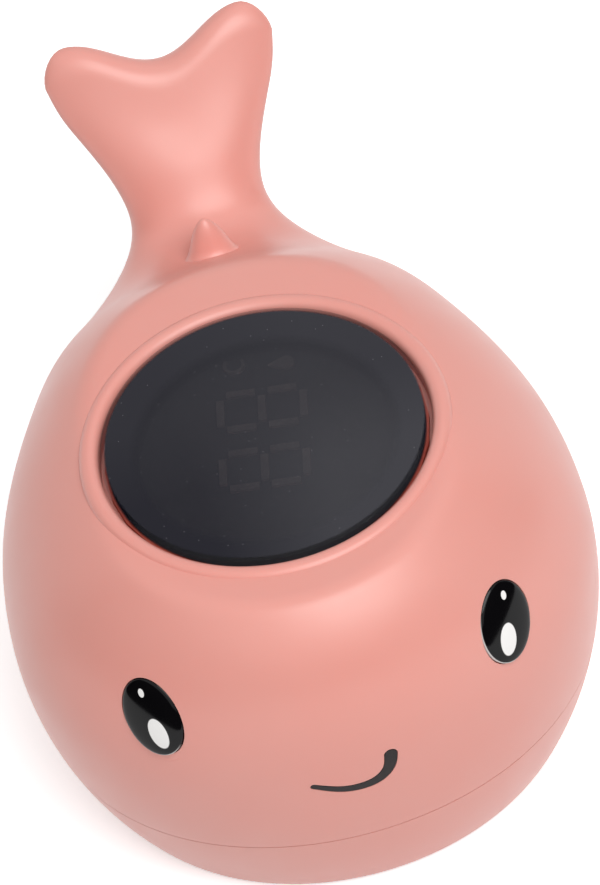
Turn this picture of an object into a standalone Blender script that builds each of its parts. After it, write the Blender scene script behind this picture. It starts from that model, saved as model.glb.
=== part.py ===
"""A floating bath thermometer in the shape of a small whale, built in the way it is assembled.

Lengths are in millimetres times MM. Pieces are modelled in the body's own frame: x across, +y to the
tail, z up from the flat base, and y = 0 at the widest section. One empty then carries them all, so that
the middle of the whole length stands over the world's origin.
"""

import math

import bmesh
import bpy
import numpy as np
from mathutils import Matrix, Vector

MM = 0.001

# Body form. A station is: y, z, half width, height above, depth below, lean in degrees.
NOSE_REACH = 37.6 * MM
STATIONS = (
    (0.0, 29.0, 41.8, 32.3, 49.3, 0.0),
    (18.0, 29.3, 39.5, 32.0, 46.0, 0.0),
    (34.0, 30.2, 33.0, 28.6, 38.5, 4.0),
    (46.0, 32.0, 26.0, 20.3, 26.5, 12.0),
    (55.0, 34.8, 17.2, 11.0, 15.5, 24.0),
    (62.0, 38.6, 10.9, 6.6, 8.6, 38.0),
    (67.5, 46.2, 11.5, 4.3, 5.6, 50.0),
    (71.7, 51.2, 15.5, 3.6, 4.4, 54.0),
    (74.9, 55.7, 17.0, 3.2, 3.9, 55.0),
)
PLAN_POWER = 2.1
CROWN_POWER = 2.5
KEEL_POWER = 2.27
DECK_Z = 55.0 * MM
DECK_SOFT = 1.0 * MM
FLUKE_EDGE = 4.1 * MM
FLUKE_NOTCH = 5.0 * MM
FLUKE_LOBE_X = 13.0 * MM
FLUKE_ROOT = (64.0 * MM, 42.0 * MM)
FLUKE_LEAN = 54.0
FLUKE_GROWTH = 16.0 * MM

# Shells and the joint between them.
WALL = 2.4 * MM
CORE_END = 56.0 * MM
SEAM_Z = 15.0 * MM
SEAM_GAP = 0.3 * MM
REBATE_INSET = 1.05 * MM
TONGUE_HEIGHT = 2.0 * MM
SHELL_SEAL_HEIGHT = 1.0 * MM
CLEAR = 0.3 * MM

# Display, from the lens down to the board.
DISPLAY_Y = 4.7 * MM
OPENING_RADIUS = 23.55 * MM
BEAD_RADIUS = 1.4 * MM
BEAD_SINK = 0.9 * MM
LENS_THICK = 2.0 * MM
LENS_RISE = 0.3 * MM
LENS_CHAMFER = 0.2 * MM
GASKET_THICK = 0.8 * MM
GASKET_WIDTH = 2.2 * MM
LEDGE_WIDTH = 3.55 * MM
LEDGE_THICK = 2.0 * MM
FRAME_FLANGE = 1.6 * MM
FRAME_THICK = 2.0 * MM
DIGIT_HEIGHT = 12.7 * MM
DIGIT_WIDTH = 7.0 * MM
DIGIT_PITCH = 10.5 * MM
DIGIT_BAR = 1.25 * MM
DIGIT_GAP = 0.35 * MM
DIGIT_RISE = 0.5 * MM
DIFFUSER_LENGTH = 30.0 * MM
DIFFUSER_WIDTH = 17.0 * MM
BOARD_RADIUS = 26.4 * MM
BOARD_THICK = 1.6 * MM
POST_CIRCLE = 24.3 * MM
POST_RADIUS = 2.1 * MM
POST_COUNT = 3
BOARD_SCREW = 0.8
CHIP_SIZE = (9.9 * MM, 6.0 * MM, 1.7 * MM)

# Face.
EYE_PLACE = (25.25 * MM, 41.05 * MM)
EYE_LONG = 5.85 * MM
EYE_SHORT = 4.35 * MM
EYE_CANT = 27.0
EYE_DOME = 0.85 * MM
EYE_SINK = 0.35 * MM
EYE_DEPTH = 1.4 * MM
EYE_FIT = 0.15 * MM
SMILE = ((-6.2, 28.7), (-3.1, 27.2), (0.2, 26.6), (3.2, 27.4), (4.7, 29.2), (5.2, 31.3))
SMILE_WIDTHS = (0.8 * MM, 1.8 * MM)
SMILE_DEPTH = 1.2 * MM
SMILE_FIT = 0.1 * MM
FIN_PLACE = (0.0, 50.6 * MM, 44.5 * MM)
FIN_RADIUS = 3.3 * MM
FIN_FLARE = 0.8 * MM
FIN_DEPTH = 0.75
FIN_HEIGHT = 6.3 * MM
FIN_LEAN = 12.0
FIN_SLOPE = 34.0

# Screws that close the shells.
PILLAR_PLACES = ((25.0, -16.0), (-25.0, -16.0), (18.0, 31.0), (-18.0, 31.0))
PILLAR_RADIUS = 3.6 * MM
SCREW_SEAT = 8.0 * MM
SCREW_TOP = 12.0 * MM
SCREW_REACH = 20.0 * MM
SCREW_SHANK = 1.2 * MM
SCREW_HEAD = 2.4 * MM
SCREW_HEAD_HEIGHT = 1.8 * MM
DRIVER_WIDTH = 0.6 * MM

# Batteries, their bay and its cover.
CELL_LENGTH = 44.5 * MM
CELL_RADIUS = 5.25 * MM
CELL_NUB = 0.9 * MM
CELL_NUB_RADIUS = 1.9 * MM
CELL_SPACING = 11.0 * MM
COIL_LENGTH = 3.2 * MM
BAY_MARGIN = 0.35 * MM
BAY_WALL = 1.5 * MM
BAY_Y = DISPLAY_Y
COVER_THICK = 1.8 * MM
COVER_LAND = 2.4 * MM
COVER_CORNER = 3.5 * MM
COVER_SEAL = 0.8 * MM
COVER_TAB_RADIUS = 4.4 * MM
COVER_TAB_REACH = 3.6 * MM
COVER_RIB = 0.8 * MM
COVER_SINK = 1.15 * MM
COVER_HEAD = 0.75 * MM
CONTACT_THICK = 0.4 * MM
CONTACT_SIZE = (9.0 * MM, 9.0 * MM)
CONTACT_DIMPLE = 1.5 * MM
CONTACT_TAB = (2.2 * MM, 3.2 * MM)
SPRING_WIRE = 0.35 * MM
SPRING_TURNS = 3
SPRING_RADII = (3.6 * MM, 2.4 * MM)

# Sensors in the base.
PROBE_PLACE = (0.0, -18.0 * MM)
PROBE_RADIUS = 2.6 * MM
PROBE_WALL = 0.5 * MM
PROBE_HEIGHT = 8.0 * MM
PROBE_FLANGE = 4.2 * MM
PROBE_FLANGE_THICK = 0.8 * MM
PROBE_RECESS = 0.4 * MM
SEAL_THICK = 0.9 * MM
THERMISTOR_RADIUS = 1.2 * MM
THERMISTOR_LENGTH = 4.6 * MM
PIN_PLACES = ((10.0, -19.0), (-10.0, -19.0))
PIN_RADIUS = 1.25 * MM
PIN_FLANGE = 2.4 * MM
PIN_HEIGHT = 7.0 * MM

# Leads from the base up to the board.
LEAD_RADIUS = 0.6 * MM
LEAD_STEP = 3.0 * MM

# Facets.
AROUND_BODY = 44
NOSE_ROWS = 10
LENGTH_ROWS = 24
AROUND_CORE = 32
CORE_NOSE_ROWS = 7
CORE_LENGTH_ROWS = 16
EDGE_ROWS = 3
AROUND_DISPLAY = 56
AROUND_SMALL = 16

# What follows from the sizes above.
LENS_RADIUS = OPENING_RADIUS - CLEAR
LENS_TOP = DECK_Z + LENS_RISE
LENS_BOTTOM = LENS_TOP - LENS_THICK
GASKET_TOP = LENS_BOTTOM - CLEAR
LEDGE_TOP = GASKET_TOP - GASKET_THICK - CLEAR
LEDGE_BOTTOM = LEDGE_TOP - LEDGE_THICK
WINDOW_RADIUS = OPENING_RADIUS - LEDGE_WIDTH
FRAME_TOP = LEDGE_BOTTOM - CLEAR
BOARD_TOP = FRAME_TOP - FRAME_THICK - CLEAR
BOARD_BOTTOM = BOARD_TOP - BOARD_THICK
BAY_WIDTH = CELL_SPACING + 2 * (CELL_RADIUS + BAY_MARGIN)
BAY_LENGTH = CELL_LENGTH + CONTACT_DIMPLE + COIL_LENGTH + 2 * (CONTACT_THICK + 2 * CLEAR)
COVER_LENGTH = BAY_LENGTH + 2 * COVER_LAND
COVER_WIDTH = BAY_WIDTH + 2 * COVER_LAND
LAND_Z = COVER_THICK + COVER_SEAL + 2 * CLEAR
CELL_Z = LAND_Z + CELL_RADIUS
BAY_TOP = CELL_Z + CELL_RADIUS + BAY_MARGIN
TAB_Y = BAY_Y + COVER_WIDTH / 2 + COVER_TAB_REACH
PLATE_X = BAY_LENGTH / 2 - CLEAR - CONTACT_THICK
CELL_TIP_X = PLATE_X - CONTACT_DIMPLE - CLEAR


def clear_scene():
    for old in list(bpy.data.objects):
        bpy.data.objects.remove(old, do_unlink=True)


def material(name, colour, roughness, metallic=0.0, alpha=1.0):
    made = bpy.data.materials.new(name)
    made.use_nodes = True
    shader = made.node_tree.nodes["Principled BSDF"]
    shader.inputs["Base Color"].default_value = (*colour, 1.0)
    shader.inputs["Roughness"].default_value = roughness
    shader.inputs["Metallic"].default_value = metallic
    shader.inputs["Alpha"].default_value = alpha
    made.diffuse_color = (*colour, alpha)
    return made


def coral_plastic():
    return material("moulded_coral_plastic", (0.80, 0.33, 0.27), 0.38)


def smoked_acrylic():
    return material("smoked_acrylic", (0.03, 0.03, 0.035), 0.08)


def black_gloss():
    return material("black_gloss_plastic", (0.012, 0.012, 0.014), 0.10)


def black_matte():
    return material("black_matte_plastic", (0.02, 0.02, 0.02), 0.55)


def milky_plastic():
    return material("milky_plastic", (0.62, 0.62, 0.58), 0.45)


def grey_silicone():
    return material("grey_silicone", (0.45, 0.45, 0.44), 0.65)


def black_foam():
    return material("black_foam_tape", (0.02, 0.02, 0.02), 0.9)


def green_board():
    return material("green_fibreglass_board", (0.02, 0.16, 0.06), 0.4)


def steel():
    return material("stainless_steel", (0.56, 0.55, 0.53), 0.25, 1.0)


def plated_screw():
    return material("nickel_plated_screw", (0.62, 0.60, 0.56), 0.3, 1.0)


def cell_jacket():
    return material("battery_jacket", (0.25, 0.26, 0.28), 0.35, 0.4)


def red_insulation():
    return material("red_wire_insulation", (0.50, 0.02, 0.02), 0.45)


def black_insulation():
    return material("black_wire_insulation", (0.02, 0.02, 0.02), 0.45)


def glass_bead():
    return material("coated_thermistor", (0.10, 0.09, 0.07), 0.3)


def new_object(name, mesh, finish=None, parent=None, sharp=35.0):
    """Put a mesh in the scene, shaded smooth but for its sharp edges."""
    mesh.shade_smooth()
    mesh.set_sharp_from_angle(angle=math.radians(sharp))
    made = bpy.data.objects.new(name, mesh)
    bpy.context.collection.objects.link(made)
    if finish:
        mesh.materials.append(finish)
    made.parent = parent
    return made


def mesh_from(name, points, faces):
    """A closed mesh with its faces turned outwards."""
    mesh = bpy.data.meshes.new(name)
    mesh.from_pydata([tuple(map(float, p)) for p in points], [], faces)
    shape = bmesh.new()
    shape.from_mesh(mesh)
    turn_outwards(shape)
    shape.to_mesh(mesh)
    shape.free()
    return mesh


def turn_outwards(shape):
    bmesh.ops.recalc_face_normals(shape, faces=shape.faces)
    if shape.calc_volume(signed=True) < 0:
        bmesh.ops.reverse_faces(shape, faces=shape.faces)


def helper(target, mesh, operation):
    """Join or cut a shape with a Boolean that stays on the target."""
    tool = new_object(f"{target.name}_{operation.lower()}_{len(target.modifiers)}", mesh)
    tool.parent = target.parent
    tool.hide_render = True
    tool.display_type = "WIRE"
    step = target.modifiers.new(operation.title(), "BOOLEAN")
    step.operation = operation
    step.object = tool
    return tool


def add(target, mesh):
    return helper(target, mesh, "UNION")


def cut(target, mesh):
    return helper(target, mesh, "DIFFERENCE")


def keep(target, mesh):
    return helper(target, mesh, "INTERSECT")


def turned(name, profile, centre=(0.0, 0.0), around=AROUND_SMALL, stretch=(1.0, 1.0)):
    """Turn a closed (radius, height) outline about a vertical axis."""
    points = []
    faces = []
    rings = []
    for radius, height in profile:
        if radius < 1e-9:
            rings.append([len(points)] * around)
            points.append((centre[0], centre[1], height))
            continue
        rings.append(list(range(len(points), len(points) + around)))
        for i in range(around):
            a = 2 * math.pi * (i + 0.5) / around
            x = centre[0] + stretch[0] * radius * math.cos(a)
            y = centre[1] + stretch[1] * radius * math.sin(a)
            points.append((x, y, height))
    closed = profile[0][0] > 1e-9
    pairs = list(zip(rings, rings[1:] + rings[:1] if closed else rings[1:]))
    for low, high in pairs:
        for i in range(around):
            j = (i + 1) % around
            corners = dict.fromkeys((low[i], low[j], high[j], high[i]))
            if len(corners) > 2:
                faces.append(tuple(corners))
    return mesh_from(name, points, faces)


def disc(name, radius, low, high, centre=(0.0, 0.0), around=AROUND_SMALL, stretch=(1.0, 1.0)):
    profile = [(0.0, low), (radius, low), (radius, high), (0.0, high)]
    return turned(name, profile, centre, around, stretch)


def prism(name, outline, low, high):
    """Raise a flat (x, y) outline from one height to another."""
    count = len(outline)
    points = [(x, y, low) for x, y in outline] + [(x, y, high) for x, y in outline]
    faces = [tuple(range(count))[::-1], tuple(range(count, 2 * count))]
    for i in range(count):
        j = (i + 1) % count
        faces.append((i, j, count + j, count + i))
    return mesh_from(name, points, faces)


def rounded_rectangle(length, width, corner, centre=(0.0, 0.0), steps=5):
    """Outline with quarter-circle corners, anticlockwise."""
    outline = []
    for quarter, (sx, sy) in enumerate(((1, 1), (-1, 1), (-1, -1), (1, -1))):
        cx = centre[0] + sx * (length / 2 - corner)
        cy = centre[1] + sy * (width / 2 - corner)
        for i in range(steps + 1):
            a = math.pi / 2 * (quarter + i / steps)
            outline.append((cx + corner * math.cos(a), cy + corner * math.sin(a)))
    return outline


def box(name, low, high):
    outline = [(low[0], low[1]), (high[0], low[1]), (high[0], high[1]), (low[0], high[1])]
    return prism(name, outline, low[2], high[2])


def spline(places, values, t, first_slope):
    """Cubic through the values, with a given slope at the start and none of curvature at the end."""
    count = len(places)
    step = np.diff(places)
    rise = np.diff(values) / step
    matrix = np.eye(count)
    right = np.zeros(count)
    matrix[0, :2] = 2 * step[0], step[0]
    right[0] = 6 * (rise[0] - first_slope)
    for i in range(1, count - 1):
        matrix[i, i - 1 : i + 2] = step[i - 1], 2 * (step[i - 1] + step[i]), step[i]
        right[i] = 6 * (rise[i] - rise[i - 1])
    bend = np.linalg.solve(matrix, right)
    k = np.clip(np.searchsorted(places, t, side="right") - 1, 0, count - 2)
    d = t - places[k]
    h = step[k]
    slope = rise[k] - h * (2 * bend[k] + bend[k + 1]) / 6
    return values[k] + d * slope + d**2 * bend[k] / 2 + d**3 * (bend[k + 1] - bend[k]) / (6 * h)


def soft_least(a, b, soft):
    """The lesser of two heights, rounded where they meet."""
    near = np.maximum(soft - np.abs(a - b), 0.0) / soft
    return np.minimum(a, b) - near**2 * soft / 4


def station_curves(rows):
    """y, z, half width, up, down and lean along the spine, from the widest section to the tail."""
    table = np.array(STATIONS)
    table[:, :5] *= MM
    run = np.hypot(np.diff(table[:, 0]), np.diff(table[:, 1]))
    places = np.concatenate([[0.0], np.cumsum(run)])
    t = np.linspace(0.0, places[-1], rows)
    slopes = (1.0, 0.0, 0.0, 0.0, 0.0, 0.0)
    return [spline(places, table[:, k], t, slope) for k, slope in enumerate(slopes)]


def section(around, width, up, down, place, lean=0.0):
    """One oval section of the body, across the spine."""
    angle = np.arange(around) * 2 * np.pi / around
    rise = np.sin(angle)
    rise = rise * np.where(rise > 0, up, down)
    tilt = math.radians(lean)
    y = place[0] - math.sin(tilt) * rise
    z = place[1] + math.cos(tilt) * rise
    return np.stack([width * np.cos(angle), y, z], axis=1)


def nose_sections(around, rows):
    """Sections from the nose to the widest one, which shrink by a power law."""
    _, z, width, up, down, _ = np.array(STATIONS[0]) * MM
    made = []
    for i in range(rows):
        t = math.cos(math.pi / 2 * i / rows)
        share = [(1 - t**p) ** (1 / p) for p in (PLAN_POWER, CROWN_POWER, KEEL_POWER)]
        made.append(section(around, width * share[0], up * share[1], down * share[2], (-NOSE_REACH * t, z)))
    return made


def fluke_edge(last):
    """Sections that close the tail in a round edge, as thin as a line at its end."""
    y, z, width, up, down, lean = last
    tilt = math.radians(lean)
    made = []
    for i in range(1, EDGE_ROWS + 1):
        a = math.pi / 2 * i / EDGE_ROWS
        thin = math.cos(a) if i < EDGE_ROWS else 0.0
        ahead = FLUKE_EDGE * math.sin(a)
        place = (y + ahead * math.cos(tilt), z + ahead * math.sin(tilt))
        sizes = (width - FLUKE_EDGE * (1 - thin), up * thin, down * thin)
        made.append(section(AROUND_BODY, *sizes, place, lean))
    return made


def grow_lobes(rows):
    """Lengthen the tail where it is wide, so that two lobes stand round a notch."""
    tilt = math.radians(FLUKE_LEAN)
    ahead = (rows[..., 1] - FLUKE_ROOT[0]) * math.cos(tilt) + (rows[..., 2] - FLUKE_ROOT[1]) * math.sin(tilt)
    share = np.clip(ahead / FLUKE_GROWTH, 0.0, 1.0)
    share = share**2 * (3 - 2 * share)
    side = np.clip(np.abs(rows[..., 0]) / FLUKE_LOBE_X, 0.0, 1.35)
    growth = share * FLUKE_NOTCH * (1 - np.cos(np.pi * side)) / 2
    rows[..., 1] += growth * math.cos(tilt)
    rows[..., 2] += growth * math.sin(tilt)


def flatten(rows, inset=0.0):
    """Level the deck, blended into the round back."""
    before_tail = rows[..., 1] < FLUKE_ROOT[0]
    flat = soft_least(rows[..., 2], DECK_Z - inset, DECK_SOFT)
    rows[..., 2] = np.where(before_tail, flat, rows[..., 2])


def body_rows():
    """Every section of the body's skin, from the nose to the edge of the tail."""
    rows = nose_sections(AROUND_BODY, NOSE_ROWS)
    stations = list(zip(*station_curves(LENGTH_ROWS)))
    rows += [section(AROUND_BODY, w, up, down, (y, z), lean) for y, z, w, up, down, lean in stations]
    rows = np.array(rows + fluke_edge(stations[-1]))
    grow_lobes(rows)
    flatten(rows)
    return rows


def moved_inwards(rows, inset):
    """Move each point of a smooth grid along its own normal."""
    along = np.gradient(rows, axis=0)
    around = np.roll(rows, -1, axis=1) - np.roll(rows, 1, axis=1)
    out = np.cross(along, around)
    out[0] = (0.0, -1.0, 0.0)
    out /= np.linalg.norm(out, axis=2, keepdims=True)
    return rows - inset * out


def core_rows(inset):
    """The skin's sections moved inwards, up to the root of the tail, then closed by a round end."""
    rows = nose_sections(AROUND_CORE, CORE_NOSE_ROWS)
    for y, z, width, up, down, lean in zip(*station_curves(CORE_LENGTH_ROWS)):
        if y < CORE_END:
            rows.append(section(AROUND_CORE, width, up, down, (y, z), lean))
    rows = moved_inwards(np.array(rows), inset)
    last = rows[-1]
    middle = last.mean(axis=0)
    ends = []
    for i in range(1, EDGE_ROWS + 1):
        a = math.pi / 2 * i / EDGE_ROWS
        thin = math.cos(a) if i < EDGE_ROWS else 0.0
        scale = (0.6 + 0.4 * thin, thin, thin)
        ends.append(middle + (last - middle) * scale + (0.0, WALL * math.sin(a), 0.0))
    rows = np.concatenate([rows, ends])
    flatten(rows, inset)
    return rows


def loft(name, rows):
    """Skin the sections. The first is a point, and the last folds flat on itself."""
    count = rows.shape[1]
    points = [rows[0, 0]] + [p for row in rows[1:] for p in row]
    index = [[0] * count]
    index += [[1 + r * count + j for j in range(count)] for r in range(len(rows) - 1)]
    index[-1] = [index[-1][min(j, count - j)] for j in range(count)]
    faces = []
    for low, high in zip(index, index[1:]):
        for j in range(count):
            k = (j + 1) % count
            corners = dict.fromkeys((low[j], low[k], high[k], high[j]))
            if len(corners) > 2:
                faces.append(tuple(corners))
    mesh = mesh_from(name, points, faces)
    shape = bmesh.new()
    shape.from_mesh(mesh)
    loose = [v for v in shape.verts if not v.link_faces]
    bmesh.ops.delete(shape, geom=loose, context="VERTS")
    shape.to_mesh(mesh)
    shape.free()
    return mesh


def finely_split(target):
    """Split the shell's many-sided faces into well-shaped triangles."""
    step = target.modifiers.new("Triangulate", "TRIANGULATE")
    step.ngon_method = "BEAUTY"
    step.quad_method = "BEAUTY"


def skin_solid(name):
    return loft(name, body_rows())


def core_solid(name, inset=WALL):
    return loft(name, core_rows(inset))


def slab(name, low, high):
    """A block wider than the whole body, between two heights."""
    reach = 2 * NOSE_REACH + STATIONS[-1][0] * MM
    return box(name, (-reach, -reach, low), (reach, reach, high))


def upper_shell(finish, parent):
    """The main moulding: back, face, tail and display bezel, open at the seam."""
    shell = new_object("upper_shell", skin_solid("upper_shell"), finish, parent)
    cut(shell, slab("seam_cut", -DECK_Z, SEAM_Z + SEAM_GAP / 2))
    cut(shell, core_solid("core"))
    rebate = keep_between("rebate", REBATE_INSET, -WALL, rebate_top())
    cut(shell, rebate)
    cut(shell, deck_opening())
    add(shell, display_bezel())
    for i in range(POST_COUNT):
        post(shell, i)
    for x, y in PILLAR_PLACES:
        pillar(shell, x * MM, y * MM)
    for side in (-1, 1):
        eye_socket(shell, side)
    cut(shell, smile_block("smile_cut", SMILE_FIT, -SMILE_DEPTH))
    add(shell, fin())
    finely_split(shell)
    return shell


def rebate_top():
    return SEAM_Z + TONGUE_HEIGHT + SHELL_SEAL_HEIGHT + 2 * CLEAR


def keep_between(name, inset, low, high):
    """The body's form, moved inwards and cut off at two heights, as a plain mesh."""
    made = new_object(name, core_solid(name, inset))
    keep(made, slab(name, low, high))
    return baked(made)


def baked(made):
    """Apply an object's modifiers and return the mesh alone."""
    graph = bpy.context.evaluated_depsgraph_get()
    mesh = bpy.data.meshes.new_from_object(made.evaluated_get(graph), depsgraph=graph)
    tools = [step.object for step in made.modifiers if step.type == "BOOLEAN"]
    for old in [made, *tools]:
        bpy.data.objects.remove(old, do_unlink=True)
    return mesh


def display_bezel():
    """The ring round the lens: a round bead above the deck, a wall and a ledge below it."""
    middle = OPENING_RADIUS + BEAD_RADIUS
    height = DECK_Z - BEAD_SINK
    outline = [(WINDOW_RADIUS, LEDGE_BOTTOM), (middle + BEAD_RADIUS, LEDGE_BOTTOM)]
    for i in range(7):
        a = math.pi * i / 6
        outline.append((middle + BEAD_RADIUS * math.cos(a), height + BEAD_RADIUS * math.sin(a)))
    outline += [(OPENING_RADIUS, LEDGE_TOP), (WINDOW_RADIUS, LEDGE_TOP)]
    return turned("bezel", outline, (0.0, DISPLAY_Y), AROUND_DISPLAY)


def deck_opening():
    """The hole in the deck that the bezel then fills."""
    radius = OPENING_RADIUS + BEAD_RADIUS
    return disc("opening", radius, LEDGE_BOTTOM - WALL, 2 * DECK_Z, (0.0, DISPLAY_Y), AROUND_DISPLAY)


def post_place(i):
    a = 2 * math.pi * (i + 0.25) / POST_COUNT
    return POST_CIRCLE * math.cos(a), DISPLAY_Y + POST_CIRCLE * math.sin(a)


def post(shell, i):
    """A short post under the ledge, which takes a screw of the board."""
    centre = post_place(i)
    add(shell, disc("post", POST_RADIUS, BOARD_TOP + CLEAR, LEDGE_BOTTOM + WALL / 2, centre))
    bore = SCREW_SHANK * BOARD_SCREW + CLEAR
    cut(shell, disc("post_bore", bore, BOARD_BOTTOM, LEDGE_BOTTOM - CLEAR, centre, 12))


def pillar(shell, x, y):
    """A long pillar from the crown down to the seam, which takes a screw of the lower shell."""
    column = new_object("column", disc("column", PILLAR_RADIUS, SCREW_TOP + CLEAR, DECK_Z, (x, y)))
    keep(column, core_solid("column_limit", WALL / 2))
    add(shell, baked(column))
    cut(shell, disc("pillar_bore", SCREW_SHANK + CLEAR, 0.0, SCREW_REACH + 1.0 * MM, (x, y), 12))


def fin():
    """The small hump between the display and the tail: round-topped, with a foot that flares into the slope."""
    steps = 8
    foot = FIN_RADIUS + FIN_FLARE
    outline = [(0.0, -WALL / 2), (foot + WALL / 2, -WALL / 2)]
    for i in range(steps):
        a = math.pi / 2 * i / (steps - 1)
        share = math.sin(a) ** 1.5
        radius = FIN_RADIUS * math.cos(a) ** 1.2 + FIN_FLARE * (1 - share) ** 8
        outline.append((radius if i < steps - 1 else 0.0, FIN_HEIGHT * share))
    mesh = turned("fin", outline, (0.0, 0.0), 24, (1.0, FIN_DEPTH))
    slope = math.radians(FIN_SLOPE)
    lean = math.radians(FIN_LEAN)
    down_slope = (0.0, math.cos(slope), -math.sin(slope))
    axis = (0.0, math.sin(lean), math.cos(lean))
    turn = Matrix(((1.0, 0.0, 0.0), down_slope, axis)).transposed().to_4x4()
    mesh.transform(Matrix.Translation(FIN_PLACE) @ turn)
    return mesh


def nose_depth(x, z):
    """Where the nose's skin lies in front of the widest section, at a place seen from the front."""
    _, middle, width, up, _, _ = np.array(STATIONS[0]) * MM
    low = 0.0
    high = 1.0
    for _ in range(40):
        t = (low + high) / 2
        wide = width * (1 - t**PLAN_POWER) ** (1 / PLAN_POWER)
        tall = up * (1 - t**CROWN_POWER) ** (1 / CROWN_POWER)
        inside = (x / wide) ** 2 + ((z - middle) / tall) ** 2 < 1
        low, high = (t, high) if inside else (low, t)
    return -NOSE_REACH * low


def eye_frame(side):
    """The place and turn of an eye: z out of the face, y along its long axis."""
    x, z = EYE_PLACE
    y = nose_depth(x, z)
    _, _, width, up, _, _ = np.array(STATIONS[0]) * MM
    height = z - STATIONS[0][1] * MM
    out = Vector((x / width**2, y / NOSE_REACH**2, height / up**2)).normalized()
    rise = (Vector((0, 0, 1)) - out * out.z).normalized()
    across = rise.cross(out)
    cant = math.radians(EYE_CANT)
    long_axis = rise * math.cos(cant) + across * (math.sin(cant) if across.x > 0 else -math.sin(cant))
    short_axis = long_axis.cross(out)
    turn = Matrix((short_axis, long_axis, out)).transposed().to_4x4()
    frame = Matrix.Translation((x, y, z)) @ turn
    return frame if side > 0 else Matrix.Diagonal((-1, 1, 1, 1)) @ frame


def placed(mesh, frame):
    """Move a mesh to a frame, and turn its faces back where the frame mirrors it."""
    mesh.transform(frame)
    if frame.determinant() < 0:
        mesh.flip_normals()
    return mesh


def eye_plug(name, spare, low, high):
    shape = (EYE_SHORT + spare, EYE_LONG + spare)
    return disc(name, 1.0, low, high, around=24, stretch=shape)


def eye_socket(shell, side):
    """A thicker pad inside the wall, and the pocket that the eye is pressed into."""
    frame = eye_frame(side)
    floor = -EYE_SINK - EYE_DEPTH - EYE_FIT
    add(shell, placed(eye_plug("eye_pad", WALL / 2, floor - WALL / 2, -WALL / 2), frame))
    cut(shell, placed(eye_plug("eye_pocket", EYE_FIT, floor, 4 * EYE_DOME), frame))


def eye(name, side, finish, parent):
    """A domed oval button."""
    outline = [(0.0, -EYE_SINK - EYE_DEPTH), (1.0, -EYE_SINK - EYE_DEPTH), (1.0, -EYE_SINK)]
    steps = 5
    for i in range(1, steps + 1):
        a = math.pi / 2 * i / steps
        radius = math.cos(a) if i < steps else 0.0
        outline.append((radius, -EYE_SINK + EYE_DOME * math.sin(a)))
    mesh = turned(name, outline, around=24, stretch=(EYE_SHORT, EYE_LONG))
    return new_object(name, placed(mesh, eye_frame(side)), finish, parent)


def curve_through(places, count):
    """Evenly spaced points on a smooth curve through the given ones."""
    places = np.array(places, float)
    run = np.concatenate([[0.0], np.cumsum(np.linalg.norm(np.diff(places, axis=0), axis=1))])
    t = np.linspace(0.0, run[-1], count)
    ends = (places[1] - places[0]) / run[1]
    return np.stack([spline(run, places[:, k], t, ends[k]) for k in range(places.shape[1])], axis=1)


def smile_outline(spare):
    """The stroke's outline in x and z: thin on one side, thick on the other, with round ends."""
    line = curve_through(np.array(SMILE) * MM, 13)
    along = np.gradient(line, axis=0)
    along /= np.linalg.norm(along, axis=1)[:, None]
    across = np.stack([-along[:, 1], along[:, 0]], axis=1)
    half = np.linspace(SMILE_WIDTHS[0], SMILE_WIDTHS[1], len(line))[:, None] / 2 + spare
    outline = list(line - across * half)
    outline += round_tip(line[-1], -across[-1], along[-1], half[-1, 0])
    outline += list((line + across * half)[::-1])
    outline += round_tip(line[0], across[0], -along[0], half[0, 0])
    return [tuple(p) for p in outline]


def round_tip(centre, start, ahead, radius, steps=5):
    turns = [math.pi * i / steps for i in range(1, steps)]
    return [centre + radius * (start * math.cos(a) + ahead * math.sin(a)) for a in turns]


def smile_block(name, spare, depth):
    """The stroke as a block through the nose's wall, from a depth below the skin outwards."""
    deep = -NOSE_REACH - depth
    mesh = prism(name, smile_outline(spare), deep, deep - 4 * SMILE_DEPTH)
    points = np.array([(v.co.x, v.co.z, v.co.y) for v in mesh.vertices])
    faces = [tuple(f.vertices) for f in mesh.polygons]
    return mesh_from(name, points, faces)


def mouth(finish, parent):
    """The black inlay, flush with the skin."""
    inlay = new_object("mouth_inlay", smile_block("mouth_inlay", 0.0, CLEAR - SMILE_DEPTH), finish, parent)
    keep(inlay, skin_solid("mouth_skin"))
    return inlay


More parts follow.
